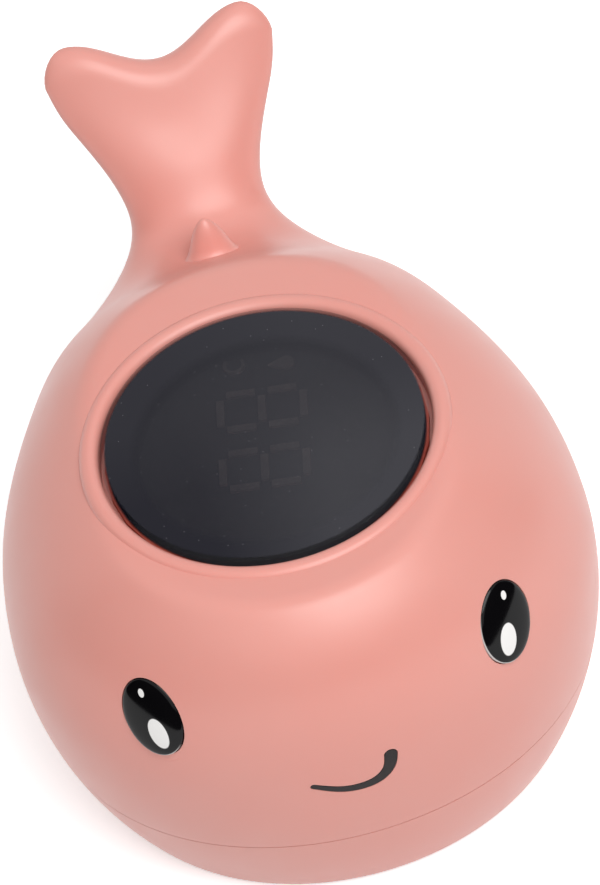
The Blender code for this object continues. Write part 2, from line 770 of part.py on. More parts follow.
def lower_shell(finish, parent):
    """The bowl: base, tongue, battery bay, screw bosses and sensor holes."""
    shell = new_object("lower_shell", skin_solid("lower_shell"), finish, parent)
    cut(shell, slab("upper_cut", SEAM_Z - SEAM_GAP / 2, 2 * DECK_Z))
    cut(shell, slab("base_cut", -DECK_Z, 0.0))
    add(shell, keep_between("tongue", REBATE_INSET + CLEAR, WALL, SEAM_Z + TONGUE_HEIGHT))
    cut(shell, keep_between("room", WALL, WALL, 2 * DECK_Z))
    outer = (BAY_LENGTH + 2 * BAY_WALL, BAY_WIDTH + 2 * BAY_WALL)
    rim = (COVER_LENGTH + 2 * BAY_WALL, COVER_WIDTH + 2 * BAY_WALL)
    centre = (0.0, BAY_Y)
    bay = rounded_rectangle(*outer, BAY_WALL, centre)
    add(shell, prism("bay", bay, WALL / 2, BAY_TOP + BAY_WALL))
    land = rounded_rectangle(*rim, COVER_CORNER + BAY_WALL, centre)
    add(shell, prism("land", land, WALL / 2, LAND_Z + BAY_WALL))
    add(shell, disc("tab_boss", COVER_TAB_RADIUS + CLEAR + BAY_WALL, WALL / 2, SCREW_TOP, (0.0, TAB_Y)))
    for x, y in PILLAR_PLACES:
        add(shell, disc("boss", PILLAR_RADIUS + 0.6 * MM, WALL / 2, SCREW_TOP, (x * MM, y * MM)))
    cavity = rounded_rectangle(BAY_LENGTH, BAY_WIDTH, BAY_WALL / 3, centre, 1)
    cut(shell, prism("bay_room", cavity, -WALL, BAY_TOP))
    cut(shell, cover_plate("cover_room", CLEAR, -WALL, LAND_Z))
    for x, y in PILLAR_PLACES:
        screw_hole(shell, x * MM, y * MM, SCREW_SEAT)
    screw_hole(shell, 0.0, TAB_Y, LAND_Z)
    for y in (BAY_Y - CELL_SPACING / 2, BAY_Y + CELL_SPACING / 2):
        cut(shell, tab_slot(y))
    sensor_hole(shell, PROBE_PLACE, PROBE_RADIUS)
    for x, y in PIN_PLACES:
        sensor_hole(shell, (x * MM, y * MM), PIN_RADIUS)
    finely_split(shell)
    return shell


def screw_hole(shell, x, y, seat):
    """A hole for the shank, with a wider one for the head below its seat."""
    cut(shell, disc("shank_hole", SCREW_SHANK + CLEAR, -WALL, SCREW_TOP + WALL, (x, y), 12))
    cut(shell, disc("head_hole", SCREW_HEAD + CLEAR, -WALL, seat, (x, y), 16))


def sensor_hole(shell, centre, radius):
    cut(shell, disc("sensor_hole", radius + CLEAR, -WALL, WALL * 2, centre, 16))


def tab_slot(y):
    """A slot in the bay's roof for the tab of a contact at its +x end."""
    width, _ = CONTACT_TAB
    x = PLATE_X + CONTACT_THICK / 2
    low = (x - CONTACT_THICK / 2 - CLEAR, y - width / 2 - CLEAR, BAY_TOP - WALL)
    high = (x + CONTACT_THICK / 2 + CLEAR, y + width / 2 + CLEAR, BAY_TOP + 2 * BAY_WALL)
    return box("tab_slot", low, high)


def cover_plate(name, spare, low, high):
    """The cover's outline, a rounded rectangle with a round screw tab on its tail side."""
    steps = 5
    size = (COVER_LENGTH + 2 * spare, COVER_WIDTH + 2 * spare)
    outline = rounded_rectangle(*size, COVER_CORNER + spare, (0.0, BAY_Y), steps)
    reach = COVER_TAB_RADIUS + spare
    side = BAY_Y + size[1] / 2
    turns = [math.pi * i / 11 for i in range(12)]
    tab = [(reach * math.cos(a), TAB_Y + reach * math.sin(a)) for a in turns]
    outline[steps + 1 : steps + 1] = [(reach, side), *tab, (-reach, side)]
    return prism(name, outline, low, high)


def battery_cover(finish, parent):
    """The door of the bay, with a low rim that stands inside the opening."""
    made = new_object("battery_cover", cover_plate("battery_cover", 0.0, 0.0, COVER_THICK), finish, parent)
    size = (BAY_LENGTH - 2 * CLEAR, BAY_WIDTH - 2 * CLEAR)
    rim = rounded_rectangle(*size, BAY_WALL / 3, (0.0, BAY_Y), 1)
    add(made, prism("rim", rim, COVER_THICK / 2, COVER_THICK + COVER_RIB))
    inner = rounded_rectangle(size[0] - 2 * BAY_WALL, size[1] - 2 * BAY_WALL, BAY_WALL / 3, (0.0, BAY_Y), 1)
    cut(made, prism("rim_room", inner, COVER_THICK, COVER_THICK + 2 * COVER_RIB))
    cut(made, disc("cover_hole", SCREW_SHANK + CLEAR, -WALL, 2 * COVER_THICK, (0.0, TAB_Y), 16))
    cut(made, disc("cover_sink", SCREW_HEAD + CLEAR, -WALL, COVER_SINK, (0.0, TAB_Y), 16))
    return made


def flat_ring(name, outer, inner, low, high, finish, parent):
    """A ring between two outlines of as many points."""
    count = len(outer)
    loops = [[(x, y, z) for x, y in outline] for outline, z in ((outer, low), (outer, high), (inner, high), (inner, low))]
    points = [p for loop_points in loops for p in loop_points]
    faces = []
    for level in range(4):
        for i in range(count):
            j = (i + 1) % count
            a = level * count
            b = (level + 1) % 4 * count
            faces.append((a + i, a + j, b + j, b + i))
    return new_object(name, mesh_from(name, points, faces), finish, parent)


def battery_cover_seal(finish, parent):
    margin = 2 * CLEAR
    size = (COVER_LENGTH - margin, COVER_WIDTH - margin)
    outer = rounded_rectangle(*size, COVER_CORNER, (0.0, BAY_Y))
    inner = rounded_rectangle(BAY_LENGTH + margin, BAY_WIDTH + margin, COVER_CORNER / 2, (0.0, BAY_Y))
    low = COVER_THICK + CLEAR
    return flat_ring("battery_cover_seal", outer, inner, low, low + COVER_SEAL, finish, parent)


def shell_seal(finish, parent):
    """The silicone ring that the tongue presses into the rebate."""
    low = SEAM_Z + TONGUE_HEIGHT + CLEAR
    high = low + SHELL_SEAL_HEIGHT
    mesh = keep_between("shell_seal", REBATE_INSET + CLEAR, low, high)
    made = new_object("shell_seal", mesh, finish, parent)
    cut(made, core_solid("seal_inner"))
    finely_split(made)
    return made


def screw(name, centre, seat, reach, finish, parent, size=1.0, thick=SCREW_HEAD_HEIGHT):
    """A pan-head screw that points up, its head just below the seat, with a cross in the head."""
    x, y = centre
    shank = SCREW_SHANK * size
    head = SCREW_HEAD * size
    top = seat - CLEAR
    low = top - thick
    outline = [(0.0, low), (head * 0.7, low), (head, low + thick * 0.5), (head, top)]
    outline += [(shank, top), (shank, reach - shank), (shank * 0.3, reach), (0.0, reach)]
    made = new_object(name, turned(name, outline, (x, y), 12), finish, parent)
    for across, along in ((DRIVER_WIDTH, head), (head, DRIVER_WIDTH)):
        low_corner = (x - across / 2, y - along / 2, low - CLEAR)
        high_corner = (x + across / 2, y + along / 2, low + thick / 2)
        cut(made, box("cross", low_corner, high_corner))
    return made


def lens(finish, parent):
    """The flat round window with a small chamfer."""
    c = LENS_CHAMFER
    outline = [(0.0, LENS_BOTTOM), (LENS_RADIUS, LENS_BOTTOM), (LENS_RADIUS, LENS_TOP - c)]
    outline += [(LENS_RADIUS - c, LENS_TOP), (0.0, LENS_TOP)]
    mesh = turned("display_lens", outline, (0.0, DISPLAY_Y), AROUND_DISPLAY)
    return new_object("display_lens", mesh, finish, parent, 20.0)


def lens_gasket(finish, parent):
    low = GASKET_TOP - GASKET_THICK
    outer = LENS_RADIUS - CLEAR
    outline = [(outer - GASKET_WIDTH, low), (outer, low), (outer, GASKET_TOP), (outer - GASKET_WIDTH, GASKET_TOP)]
    mesh = turned("lens_gasket", outline, (0.0, DISPLAY_Y), AROUND_DISPLAY // 2)
    return new_object("lens_gasket", mesh, finish, parent)


def display_frame(finish, parent):
    """The dark holder below the ledge: a boss in the window, a flange and room for the diffuser."""
    inner = WINDOW_RADIUS - 2 * CLEAR
    low = FRAME_TOP - FRAME_THICK
    outline = [(0.0, low), (WINDOW_RADIUS + FRAME_FLANGE, low), (WINDOW_RADIUS + FRAME_FLANGE, FRAME_TOP)]
    outline += [(inner, FRAME_TOP), (inner, LEDGE_TOP), (0.0, LEDGE_TOP)]
    mesh = turned("display_frame", outline, (0.0, DISPLAY_Y), AROUND_DISPLAY // 2)
    made = new_object("display_frame", mesh, finish, parent)
    room = rounded_rectangle(DIFFUSER_WIDTH + 2 * CLEAR, DIFFUSER_LENGTH + 2 * CLEAR, 1.0 * MM, (0.0, DISPLAY_Y), 2)
    cut(made, prism("diffuser_room", room, 0.0, 2 * DECK_Z))
    return made


def segment_bars(centre):
    """The seven bars of an eight that lies on its side: low and high corners in x and y."""
    h = DIGIT_HEIGHT / 2
    w = DIGIT_WIDTH / 2
    b = DIGIT_BAR
    g = DIGIT_GAP
    x, y = centre
    bars = []
    for place in (-h, -b / 2, h - b):
        bars.append((x + place, y - w + b / 2 + g, x + place + b, y + w - b / 2 - g))
    for low, high in ((-h + b / 2 + g, -b / 2 + b / 2 - g), (b / 2 - b / 2 + g, h - b / 2 - g)):
        bars.append((x + low, y - w, x + high, y - w + b))
        bars.append((x + low, y + w - b, x + high, y + w))
    return bars


def segment_diffuser(finish, parent):
    """A milky light guide, with its digits, degree sign, letter and drop raised on it."""
    top = LEDGE_TOP
    low = FRAME_TOP - FRAME_THICK
    plate = rounded_rectangle(DIFFUSER_WIDTH, DIFFUSER_LENGTH, 0.7 * MM, (0.0, DISPLAY_Y), 2)
    made = new_object("segment_diffuser", prism("segment_diffuser", plate, low, top), finish, parent)
    for digit in (-1, 1):
        centre = (0.0, DISPLAY_Y - 0.7 * MM + digit * DIGIT_PITCH / 2)
        for x0, y0, x1, y1 in segment_bars(centre):
            add(made, box("bar", (x0, y0, top - DIGIT_RISE), (x1, y1, top + DIGIT_RISE)))
    letter_y = DISPLAY_Y + 12.6 * MM
    add(made, c_letter((-2.4 * MM, letter_y), top))
    add(made, disc("degree", 0.5 * MM, top - DIGIT_RISE, top + DIGIT_RISE, (-5.2 * MM, letter_y - 1.6 * MM), 12))
    add(made, drop_icon((4.4 * MM, letter_y), top))
    return made


def c_letter(centre, top):
    """An open ring, its mouth towards the tail."""
    outer = 1.9 * MM
    inner = 1.2 * MM
    turns = [math.radians(140 + 260 * i / 12) for i in range(13)]
    outline = [(centre[0] + outer * math.cos(a), centre[1] + outer * math.sin(a)) for a in turns]
    outline += [(centre[0] + inner * math.cos(a), centre[1] + inner * math.sin(a)) for a in turns[::-1]]
    return prism("letter", outline, top - DIGIT_RISE, top + DIGIT_RISE)


def drop_icon(centre, top):
    """A drop that lies on its side, round towards +x and pointed towards -x."""
    radius = 1.4 * MM
    tip = 3.4 * MM
    turns = [math.radians(-115 + 230 * i / 12) for i in range(13)]
    outline = [(centre[0] + radius * math.cos(a), centre[1] + radius * math.sin(a)) for a in turns]
    outline.append((centre[0] - tip, centre[1]))
    return prism("drop", outline, top - DIGIT_RISE, top + DIGIT_RISE)


def main_board(finish, parent):
    mesh = disc("main_board", BOARD_RADIUS, BOARD_BOTTOM, BOARD_TOP, (0.0, DISPLAY_Y), AROUND_DISPLAY // 2)
    made = new_object("main_board", mesh, finish, parent)
    for i in range(POST_COUNT):
        cut(made, disc("board_hole", SCREW_SHANK * BOARD_SCREW + CLEAR, 0.0, 2 * DECK_Z, post_place(i), 12))
    return made


def control_chip(finish, parent):
    """The controller below the board, with two rows of legs joined to its body."""
    length, width, height = CHIP_SIZE
    top = BOARD_BOTTOM - CLEAR
    centre = (0.0, DISPLAY_Y)
    body = rounded_rectangle(length, width, 0.3 * MM, centre, 1)
    made = new_object("control_chip", prism("control_chip", body, top - height, top), finish, parent)
    for i in range(8):
        x = (i % 4 - 1.5) * length / 4.4
        side = 1 if i < 4 else -1
        near = centre[1] + side * (width / 2 - CLEAR)
        far = centre[1] + side * (width / 2 + 1.2 * MM)
        low = (x - 0.3 * MM, min(near, far), top - 0.5 * height)
        high = (x + 0.3 * MM, max(near, far), top - 0.2 * height)
        add(made, box("leg", low, high))
    return made


def cell(name, direction, y, finish, parent):
    """A dry cell along x, its nub towards +x or -x."""
    length = CELL_LENGTH - CELL_NUB
    r = CELL_RADIUS
    outline = [(0.0, 0.0), (r - 0.6 * MM, 0.0), (r, 0.4 * MM), (r, length - 0.5 * MM), (r - 0.6 * MM, length)]
    outline += [(CELL_NUB_RADIUS, length), (CELL_NUB_RADIUS, CELL_LENGTH), (0.0, CELL_LENGTH)]
    mesh = turned(name, outline, around=20)
    turn = Matrix.Rotation(direction * math.pi / 2, 4, "Y")
    start = direction * (CELL_TIP_X - CELL_LENGTH)
    mesh.transform(Matrix.Translation((start, y, CELL_Z)) @ turn)
    return new_object(name, mesh, finish, parent)


def plate_box(name, x_side, y, size, low=-0.5, high=0.5):
    """A thin upright plate against an end wall of the bay."""
    inner = x_side * PLATE_X
    outer = x_side * (PLATE_X + CONTACT_THICK)
    bottom = CELL_Z + low * size[1]
    return box(name, (min(inner, outer), y - size[0] / 2, bottom), (max(inner, outer), y + size[0] / 2, CELL_Z + high * size[1]))


def dimple(x_side, y):
    """The raised button that meets a cell's nub."""
    outline = [(0.0, -CONTACT_THICK / 2), (2.2 * MM, -CONTACT_THICK / 2), (1.4 * MM, CONTACT_DIMPLE), (0.0, CONTACT_DIMPLE)]
    mesh = turned("dimple", outline, around=14)
    mesh.transform(Matrix.Translation((x_side * PLATE_X, y, CELL_Z)) @ Matrix.Rotation(-x_side * math.pi / 2, 4, "Y"))
    return mesh


def spring(x_side, y):
    """A cone-shaped coil that stands on a plate and presses on a cell's flat end."""
    free = CELL_TIP_X - CELL_LENGTH + PLATE_X - CLEAR - SPRING_WIRE
    steps = 10 * SPRING_TURNS
    points = []
    for i in range(steps + 1):
        share = i / steps
        a = 2 * math.pi * SPRING_TURNS * share
        radius = SPRING_RADII[0] + (SPRING_RADII[1] - SPRING_RADII[0]) * share
        points.append((radius * math.cos(a), radius * math.sin(a), free * share))
    mesh = tube_mesh("spring", points, SPRING_WIRE)
    mesh.transform(Matrix.Translation((x_side * PLATE_X, y, CELL_Z)) @ Matrix.Rotation(-x_side * math.pi / 2, 4, "Y"))
    return mesh


def tube_curve(name, points, radius):
    curve = bpy.data.curves.new(name, "CURVE")
    curve.dimensions = "3D"
    curve.bevel_depth = radius
    curve.bevel_resolution = 1
    curve.use_fill_caps = True
    line = curve.splines.new("POLY")
    line.points.add(len(points) - 1)
    for point, place in zip(line.points, points):
        point.co = (*place, 1.0)
    return curve


def tube_mesh(name, points, radius):
    """A swept wire as a closed mesh."""
    made = bpy.data.objects.new(name, tube_curve(name, points, radius))
    bpy.context.collection.objects.link(made)
    mesh = baked(made)
    shape = bmesh.new()
    shape.from_mesh(mesh)
    bmesh.ops.remove_doubles(shape, verts=shape.verts, dist=radius / 100)
    turn_outwards(shape)
    shape.to_mesh(mesh)
    shape.free()
    return mesh


def bridge_contact(finish, parent):
    """One plate across both cells at the -x end: a coil for one, a button for the other."""
    size = (CELL_SPACING + CONTACT_SIZE[0], CONTACT_SIZE[1])
    made = new_object("bridge_contact", plate_box("bridge_contact", -1, BAY_Y, size), finish, parent)
    add(made, spring(-1, BAY_Y - CELL_SPACING / 2))
    add(made, dimple(-1, BAY_Y + CELL_SPACING / 2))
    return made


def end_contact(name, y, feature, finish, parent):
    """A single contact at the +x end, with a solder tab through the bay's roof."""
    made = new_object(name, plate_box(name, 1, y, CONTACT_SIZE), finish, parent)
    width, height = CONTACT_TAB
    low = (PLATE_X, y - width / 2, CELL_Z)
    high = (PLATE_X + CONTACT_THICK, y + width / 2, BAY_TOP + BAY_WALL + height)
    add(made, box("tab", low, high))
    add(made, feature(1, y))
    return made


def probe_cap(finish, parent):
    """A drawn steel cup with a flange that clamps its seal on the floor."""
    r = PROBE_RADIUS
    low = PROBE_RECESS
    flange = probe_flange_z()
    outline = [(0.0, low), (r - 0.5 * MM, low), (r, low + 0.5 * MM), (r, flange), (PROBE_FLANGE, flange)]
    outline += [(PROBE_FLANGE, flange + PROBE_FLANGE_THICK), (r, flange + PROBE_FLANGE_THICK), (r, PROBE_HEIGHT)]
    inner = r - PROBE_WALL
    outline += [(inner, PROBE_HEIGHT), (inner, low + PROBE_WALL), (0.0, low + PROBE_WALL)]
    return new_object("probe_cap", turned("probe_cap", outline, PROBE_PLACE), finish, parent)


def probe_flange_z():
    return WALL + SEAL_THICK + 2 * CLEAR


def seal_ring(name, centre, inner, outer, finish, parent):
    """A soft washer on the floor below a flange."""
    low = WALL + CLEAR
    outline = [(inner, low), (outer, low), (outer, low + SEAL_THICK), (inner, low + SEAL_THICK)]
    return new_object(name, turned(name, outline, centre), finish, parent)


def thermistor(finish, parent):
    """A coated bead at the bottom of the cup."""
    low = PROBE_RECESS + PROBE_WALL + CLEAR
    r = THERMISTOR_RADIUS
    outline = [(0.0, low)]
    for i in range(1, 5):
        a = math.pi / 2 * i / 4
        outline.append((r * math.sin(a), low + r * (1 - math.cos(a))))
    outline += [(r, low + THERMISTOR_LENGTH), (0.0, low + THERMISTOR_LENGTH)]
    return new_object("thermistor", turned("thermistor", outline, PROBE_PLACE, 12), finish, parent)


def water_pin(name, x, y, finish, parent):
    """A turned pin that lies open to the water at its lower end."""
    flange = probe_flange_z()
    r = PIN_RADIUS
    outline = [(0.0, PROBE_RECESS), (r, PROBE_RECESS), (r, flange), (PIN_FLANGE, flange)]
    outline += [(PIN_FLANGE, flange + PROBE_FLANGE_THICK), (r * 0.6, flange + PROBE_FLANGE_THICK)]
    outline += [(r * 0.6, PIN_HEIGHT), (0.0, PIN_HEIGHT)]
    return new_object(name, turned(name, outline, (x, y), 12), finish, parent)


def lead(name, route, finish, parent):
    """A wire held at both ends, on a smooth curve through its route."""
    places = np.array(route) * MM
    length = np.linalg.norm(np.diff(places, axis=0), axis=1).sum()
    points = curve_through(places, max(6, round(length / LEAD_STEP) + 1))
    curve = tube_curve(name, [tuple(p) for p in points], LEAD_RADIUS)
    curve.bevel_resolution = 2
    made = bpy.data.objects.new(name, curve)
    bpy.context.collection.objects.link(made)
    curve.materials.append(finish)
    made.parent = parent
    return made


def leads(parent):
    """Six wires. Each starts just above its terminal and ends just below the board."""
    red = red_insulation()
    black = black_insulation()
    tab_x = (PLATE_X + CONTACT_THICK / 2) / MM
    tab_z = (BAY_TOP + BAY_WALL + CONTACT_TAB[1] + LEAD_RADIUS) / MM
    board = (BOARD_BOTTOM - CLEAR) / MM
    front = (BAY_Y - CELL_SPACING / 2) / MM
    back = (BAY_Y + CELL_SPACING / 2) / MM
    probe_y = PROBE_PLACE[1] / MM
    bead_top = (PROBE_RECESS + PROBE_WALL + 2 * CLEAR + THERMISTOR_LENGTH) / MM
    pin_top = (PIN_HEIGHT + CLEAR) / MM
    routes = {
        "lead_positive": (red, ((tab_x, front, tab_z), (tab_x + 1, front, 26), (22, front + 1, 34), (19, front + 2, 40), (18, front + 2, board))),
        "lead_negative": (black, ((tab_x, back, tab_z), (tab_x + 1, back, 26), (22, back, 34), (18, back + 1, 40), (17, back + 1, board))),
    }
    for side, label in ((-1, "1"), (1, "2")):
        start = (side * 0.9, probe_y, bead_top)
        middle = ((side * 1.6, probe_y - 1, 16), (side * 3, probe_y, 26), (side * 4, probe_y + 4, 36))
        routes["lead_thermistor_" + label] = (black, (start, *middle, (side * 4, probe_y + 6, board)))
        x, y = PIN_PLACES[0 if side > 0 else 1]
        route = ((x, y, pin_top), (x, y - 1, 16), (x * 0.98, y, 26), (x * 0.9, y + 4, 36), (x * 0.9, y + 6, board))
        routes["lead_water_" + label] = (red, route)
    for name, (finish, route) in routes.items():
        lead(name, route, finish, parent)


def screws(parent):
    finish = plated_screw()
    for i, (x, y) in enumerate(PILLAR_PLACES):
        screw(f"shell_screw_{i + 1}", (x * MM, y * MM), SCREW_SEAT, SCREW_REACH, finish, parent)
    place = (0.0, TAB_Y)
    screw("battery_cover_screw", place, COVER_SINK, SCREW_TOP - WALL, finish, parent, 1.0, COVER_HEAD)
    for i in range(POST_COUNT):
        reach = LEDGE_BOTTOM - 2 * CLEAR
        screw(f"board_screw_{i + 1}", post_place(i), BOARD_BOTTOM, reach, finish, parent, BOARD_SCREW)


def main():
    clear_scene()
    rows = body_rows()
    low = float(rows[..., 1].min())
    high = float(rows[..., 1].max())
    carrier = bpy.data.objects.new("whale", None)
    bpy.context.collection.objects.link(carrier)
    carrier.location = (0.0, -(low + high) / 2, 0.0)

    coral = coral_plastic()
    upper_shell(coral, carrier)
    lower_shell(coral, carrier)
    battery_cover(coral, carrier)
    silicone = grey_silicone()
    shell_seal(silicone, carrier)
    battery_cover_seal(silicone, carrier)
    lens(smoked_acrylic(), carrier)
    lens_gasket(black_foam(), carrier)
    display_frame(black_matte(), carrier)
    segment_diffuser(milky_plastic(), carrier)
    main_board(green_board(), carrier)
    control_chip(black_matte(), carrier)
    gloss = black_gloss()
    eye("eye_left", 1, gloss, carrier)
    eye("eye_right", -1, gloss, carrier)
    mouth(gloss, carrier)
    jacket = cell_jacket()
    cell("battery_1", 1, BAY_Y - CELL_SPACING / 2, jacket, carrier)
    cell("battery_2", -1, BAY_Y + CELL_SPACING / 2, jacket, carrier)
    metal = steel()
    bridge_contact(metal, carrier)
    end_contact("positive_contact", BAY_Y - CELL_SPACING / 2, dimple, metal, carrier)
    end_contact("negative_contact", BAY_Y + CELL_SPACING / 2, spring, metal, carrier)
    probe_cap(metal, carrier)
    seal_ring("probe_seal", PROBE_PLACE, PROBE_RADIUS + CLEAR, PROBE_FLANGE, silicone, carrier)
    thermistor(glass_bead(), carrier)
    for i, (x, y) in enumerate(PIN_PLACES):
        water_pin(f"water_pin_{i + 1}", x * MM, y * MM, metal, carrier)
        seal_ring(f"pin_seal_{i + 1}", (x * MM, y * MM), PIN_RADIUS + CLEAR, PIN_FLANGE, silicone, carrier)
    leads(carrier)
    screws(carrier)


main()
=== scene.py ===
"""A floating bath thermometer in the shape of a whale, dressed for a studio picture.

The CAD frame gives every place. The two shells, the lens, the light guide with its digits, the eyes and
the mouth are made again here with a finer surface. Every other piece of the frame gets its own finish.
"""

import math

import bmesh
import bpy
import numpy as np
from mathutils import Matrix, Vector


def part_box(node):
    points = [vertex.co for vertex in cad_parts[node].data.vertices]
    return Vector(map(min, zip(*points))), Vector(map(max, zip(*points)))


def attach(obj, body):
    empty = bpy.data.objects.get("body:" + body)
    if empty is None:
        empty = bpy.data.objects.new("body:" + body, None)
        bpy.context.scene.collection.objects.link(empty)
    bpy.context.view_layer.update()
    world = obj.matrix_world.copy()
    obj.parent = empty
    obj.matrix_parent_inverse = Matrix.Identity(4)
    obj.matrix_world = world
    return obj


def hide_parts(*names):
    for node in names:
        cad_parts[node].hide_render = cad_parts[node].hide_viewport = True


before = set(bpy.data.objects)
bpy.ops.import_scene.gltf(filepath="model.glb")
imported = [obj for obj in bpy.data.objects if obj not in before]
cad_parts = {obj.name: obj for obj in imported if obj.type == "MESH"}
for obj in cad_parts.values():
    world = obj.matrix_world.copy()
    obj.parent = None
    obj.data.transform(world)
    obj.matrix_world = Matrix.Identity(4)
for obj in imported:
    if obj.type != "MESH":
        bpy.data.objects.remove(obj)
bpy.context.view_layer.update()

bl_info = {
    "name": "Whale bath thermometer",
    "version": (1, 0, 0),
    "blender": (4, 5, 0),
    "location": "3D View > Sidebar > Bath Whale",
    "description": "Builds a floating bath thermometer, piece by piece, with its studio",
    "category": "Object",
}

MM = 0.001

# The body's sections from the widest one to the tail, in millimetres and degrees:
# y, z, half width, height above, depth below, lean.
STATIONS = (
    (0.0, 29.0, 41.8, 32.3, 49.3, 0.0),
    (18.0, 29.3, 39.5, 32.0, 46.0, 0.0),
    (34.0, 30.2, 33.0, 28.6, 38.5, 4.0),
    (46.0, 32.0, 26.0, 20.3, 26.5, 12.0),
    (55.0, 34.8, 17.2, 11.0, 15.5, 24.0),
    (62.0, 38.6, 10.9, 6.6, 8.6, 38.0),
    (67.5, 46.2, 11.5, 4.3, 5.6, 50.0),
    (71.7, 51.2, 15.5, 3.6, 4.4, 54.0),
    (74.9, 55.7, 17.0, 3.2, 3.9, 55.0),
)
PLAN_POWER = 2.1
CROWN_POWER = 2.5
KEEL_POWER = 2.27
FLUKE_EDGE = 4.1 * MM
FLUKE_NOTCH = 5.0 * MM
FLUKE_LOBE_X = 13.0 * MM
FLUKE_ROOT = (64.0 * MM, 42.0 * MM)
FLUKE_LEAN = 54.0
FLUKE_GROWTH = 16.0 * MM
CLEAR = 0.3 * MM

# The hollow's round end before the tail: where it starts, how far it reaches, and its last width.
CORE_END = 56.0 * MM
CORE_END_REACH = 2.4 * MM
CORE_END_WIDTH = 0.6

# Heights below and above every piece.
BELOW_ALL = -100.0 * MM
ABOVE_ALL = 110.0 * MM

# The fin: a turned form, thinner along the body, that stands on the slope before the tail.
FIN_RADIUS = 3.3 * MM
FIN_FLARE = 0.8 * MM
FIN_HEIGHT = 6.3 * MM
FIN_ROOT = 1.2 * MM
FIN_THINNESS = 0.75
FIN_PLACE = (0.0, 50.6 * MM, 44.5 * MM)
FIN_SLOPE = 34.0
FIN_LEAN = 12.0

# The smile: its middle line as x and height in millimetres, its width at both ends, the spare room
# round it, and the depths of its pocket and its inlay.
SMILE = ((-6.2, 28.7), (-3.1, 27.2), (0.2, 26.6), (3.2, 27.4), (4.7, 29.2), (5.2, 31.3))
SMILE_WIDTHS = (0.8 * MM, 1.8 * MM)
SMILE_SPARE = 0.1 * MM
SMILE_POCKET = 1.2 * MM
SMILE_INLAY = 0.9 * MM

# The joint between the shells: how far its parts lie inside the skin, and their heights.
REBATE_INSET = 1.05 * MM
REBATE_TOP = 18.6 * MM
TONGUE_TOP = 17.0 * MM

# The battery bay and what stands round it.
BAY_WALL = 1.5 * MM
BAY_MARGIN = 0.35 * MM
BAY_HEADROOM = 0.05 * MM
COVER_LAND = 2.4 * MM
COVER_CORNER = 3.5 * MM
COVER_TAB_RADIUS = 4.4 * MM
CONTACT_TAB_WIDTH = 2.2 * MM
CONTACT_TAB_THICK = 0.7 * MM
CONTACT_TAB_DEEP = 2.0 * MM
LEDGE_WIDTH = 3.55 * MM
LEDGE_THICK = 2.0 * MM
POST_COUNT = 3
POST_CIRCLE = 24.3 * MM
POST_RADIUS = 2.1 * MM
POST_BORE = 1.26 * MM
POST_BITE = 1.2 * MM
PILLAR_RADIUS = 3.6 * MM
PILLAR_BORE_TOP = 21.0 * MM
BOSS_SPARE = 0.6 * MM
SCREW_HOLE = 1.5 * MM
SCREW_HEAD_HOLE = 2.7 * MM
SCREW_SEAT = 8.0 * MM
SCREW_TOP = 12.0 * MM
SENSOR_RADII = {"probe_cap": 2.6 * MM, "water_pin_1": 1.25 * MM, "water_pin_2": 1.25 * MM}
EYE_CLEAR = 0.15 * MM

# The display's prints. The places of the letter and the drop are seen from the digits' middle.
SEGMENT_GAP = 0.35 * MM
SEGMENT_THICK = 0.5 * MM
DIGITS_PLACE = (-0.2 * MM, 1.9 * MM)
LETTER_PLACE = (-3.7 * MM, 14.2 * MM)
LETTER_RADII = (1.6 * MM, 1.1 * MM)
DROP_PLACE = (3.7 * MM, 13.4 * MM)
DROP_RADIUS = 1.2 * MM
DROP_POINT = 2.6 * MM
FILM_RADIUS = 19.85 * MM
FILM_SPAN = (0.01 * MM, 0.04 * MM)
GUIDE_GAP = 0.02 * MM

# The lens's clear zones: the share that each still hides, its middle's shift along y, the radii where
# its edge starts and ends, and whether it lies inside that edge.
LENS_ZONES = (
    (0.85, -1.2 * MM, 17.8 * MM, 19.4 * MM, True),
    (0.17, 0.0, 22.4 * MM, 22.7 * MM, False),
)
# Dust on the lens: one cell's size, a speck's radius and rarity as shares, and the colour.
DUST_CELL = 2.2 * MM
DUST_REACH = 0.035
DUST_RARITY = 0.7
DUST_SHADE = "#59585E"
# The white ovals on an eye's own map, which runs from -1 to 1: middle and radii.
EYE_OVALS = (((-0.05, -0.40), (0.31, 0.40)), ((-0.045, 0.67), (0.10, 0.11)))

# The stage. The aim is seen from a point in the body, to the left and upwards in the picture.
SUBJECT_HEIGHT = 29.0 * MM
AIM_LEFT = 0.203 * MM
AIM_RISE = 19.05 * MM
PAPER_HALF = 3.0
PAPER_SPAN = (-0.01, -0.0002)
PAPER_GIVES_BACK = 0.6
PAPER_GLOW = 0.45
KEY_SIZE = 1.5
TAIL_LIGHT_ANGLE = 3.2
TAIL_LIGHT_SIZE = 0.06
TAIL_LIGHT_PLACE = (0.15, -1.0, 0.52)
TAIL_LIGHT_AIM = (84.0 * MM, 63.0 * MM)

# Black cards, by their lowest and highest corners.
BLACK_CARDS = (
    ("card_left", (-0.80, -1.9, -0.01), (-0.78, 0.3, 0.8)),
    ("card_right", (0.78, -1.9, -0.01), (0.80, 0.3, 0.8)),
    ("card_front", (-0.8, -1.92, -0.01), (0.8, -1.90, 0.8)),
)
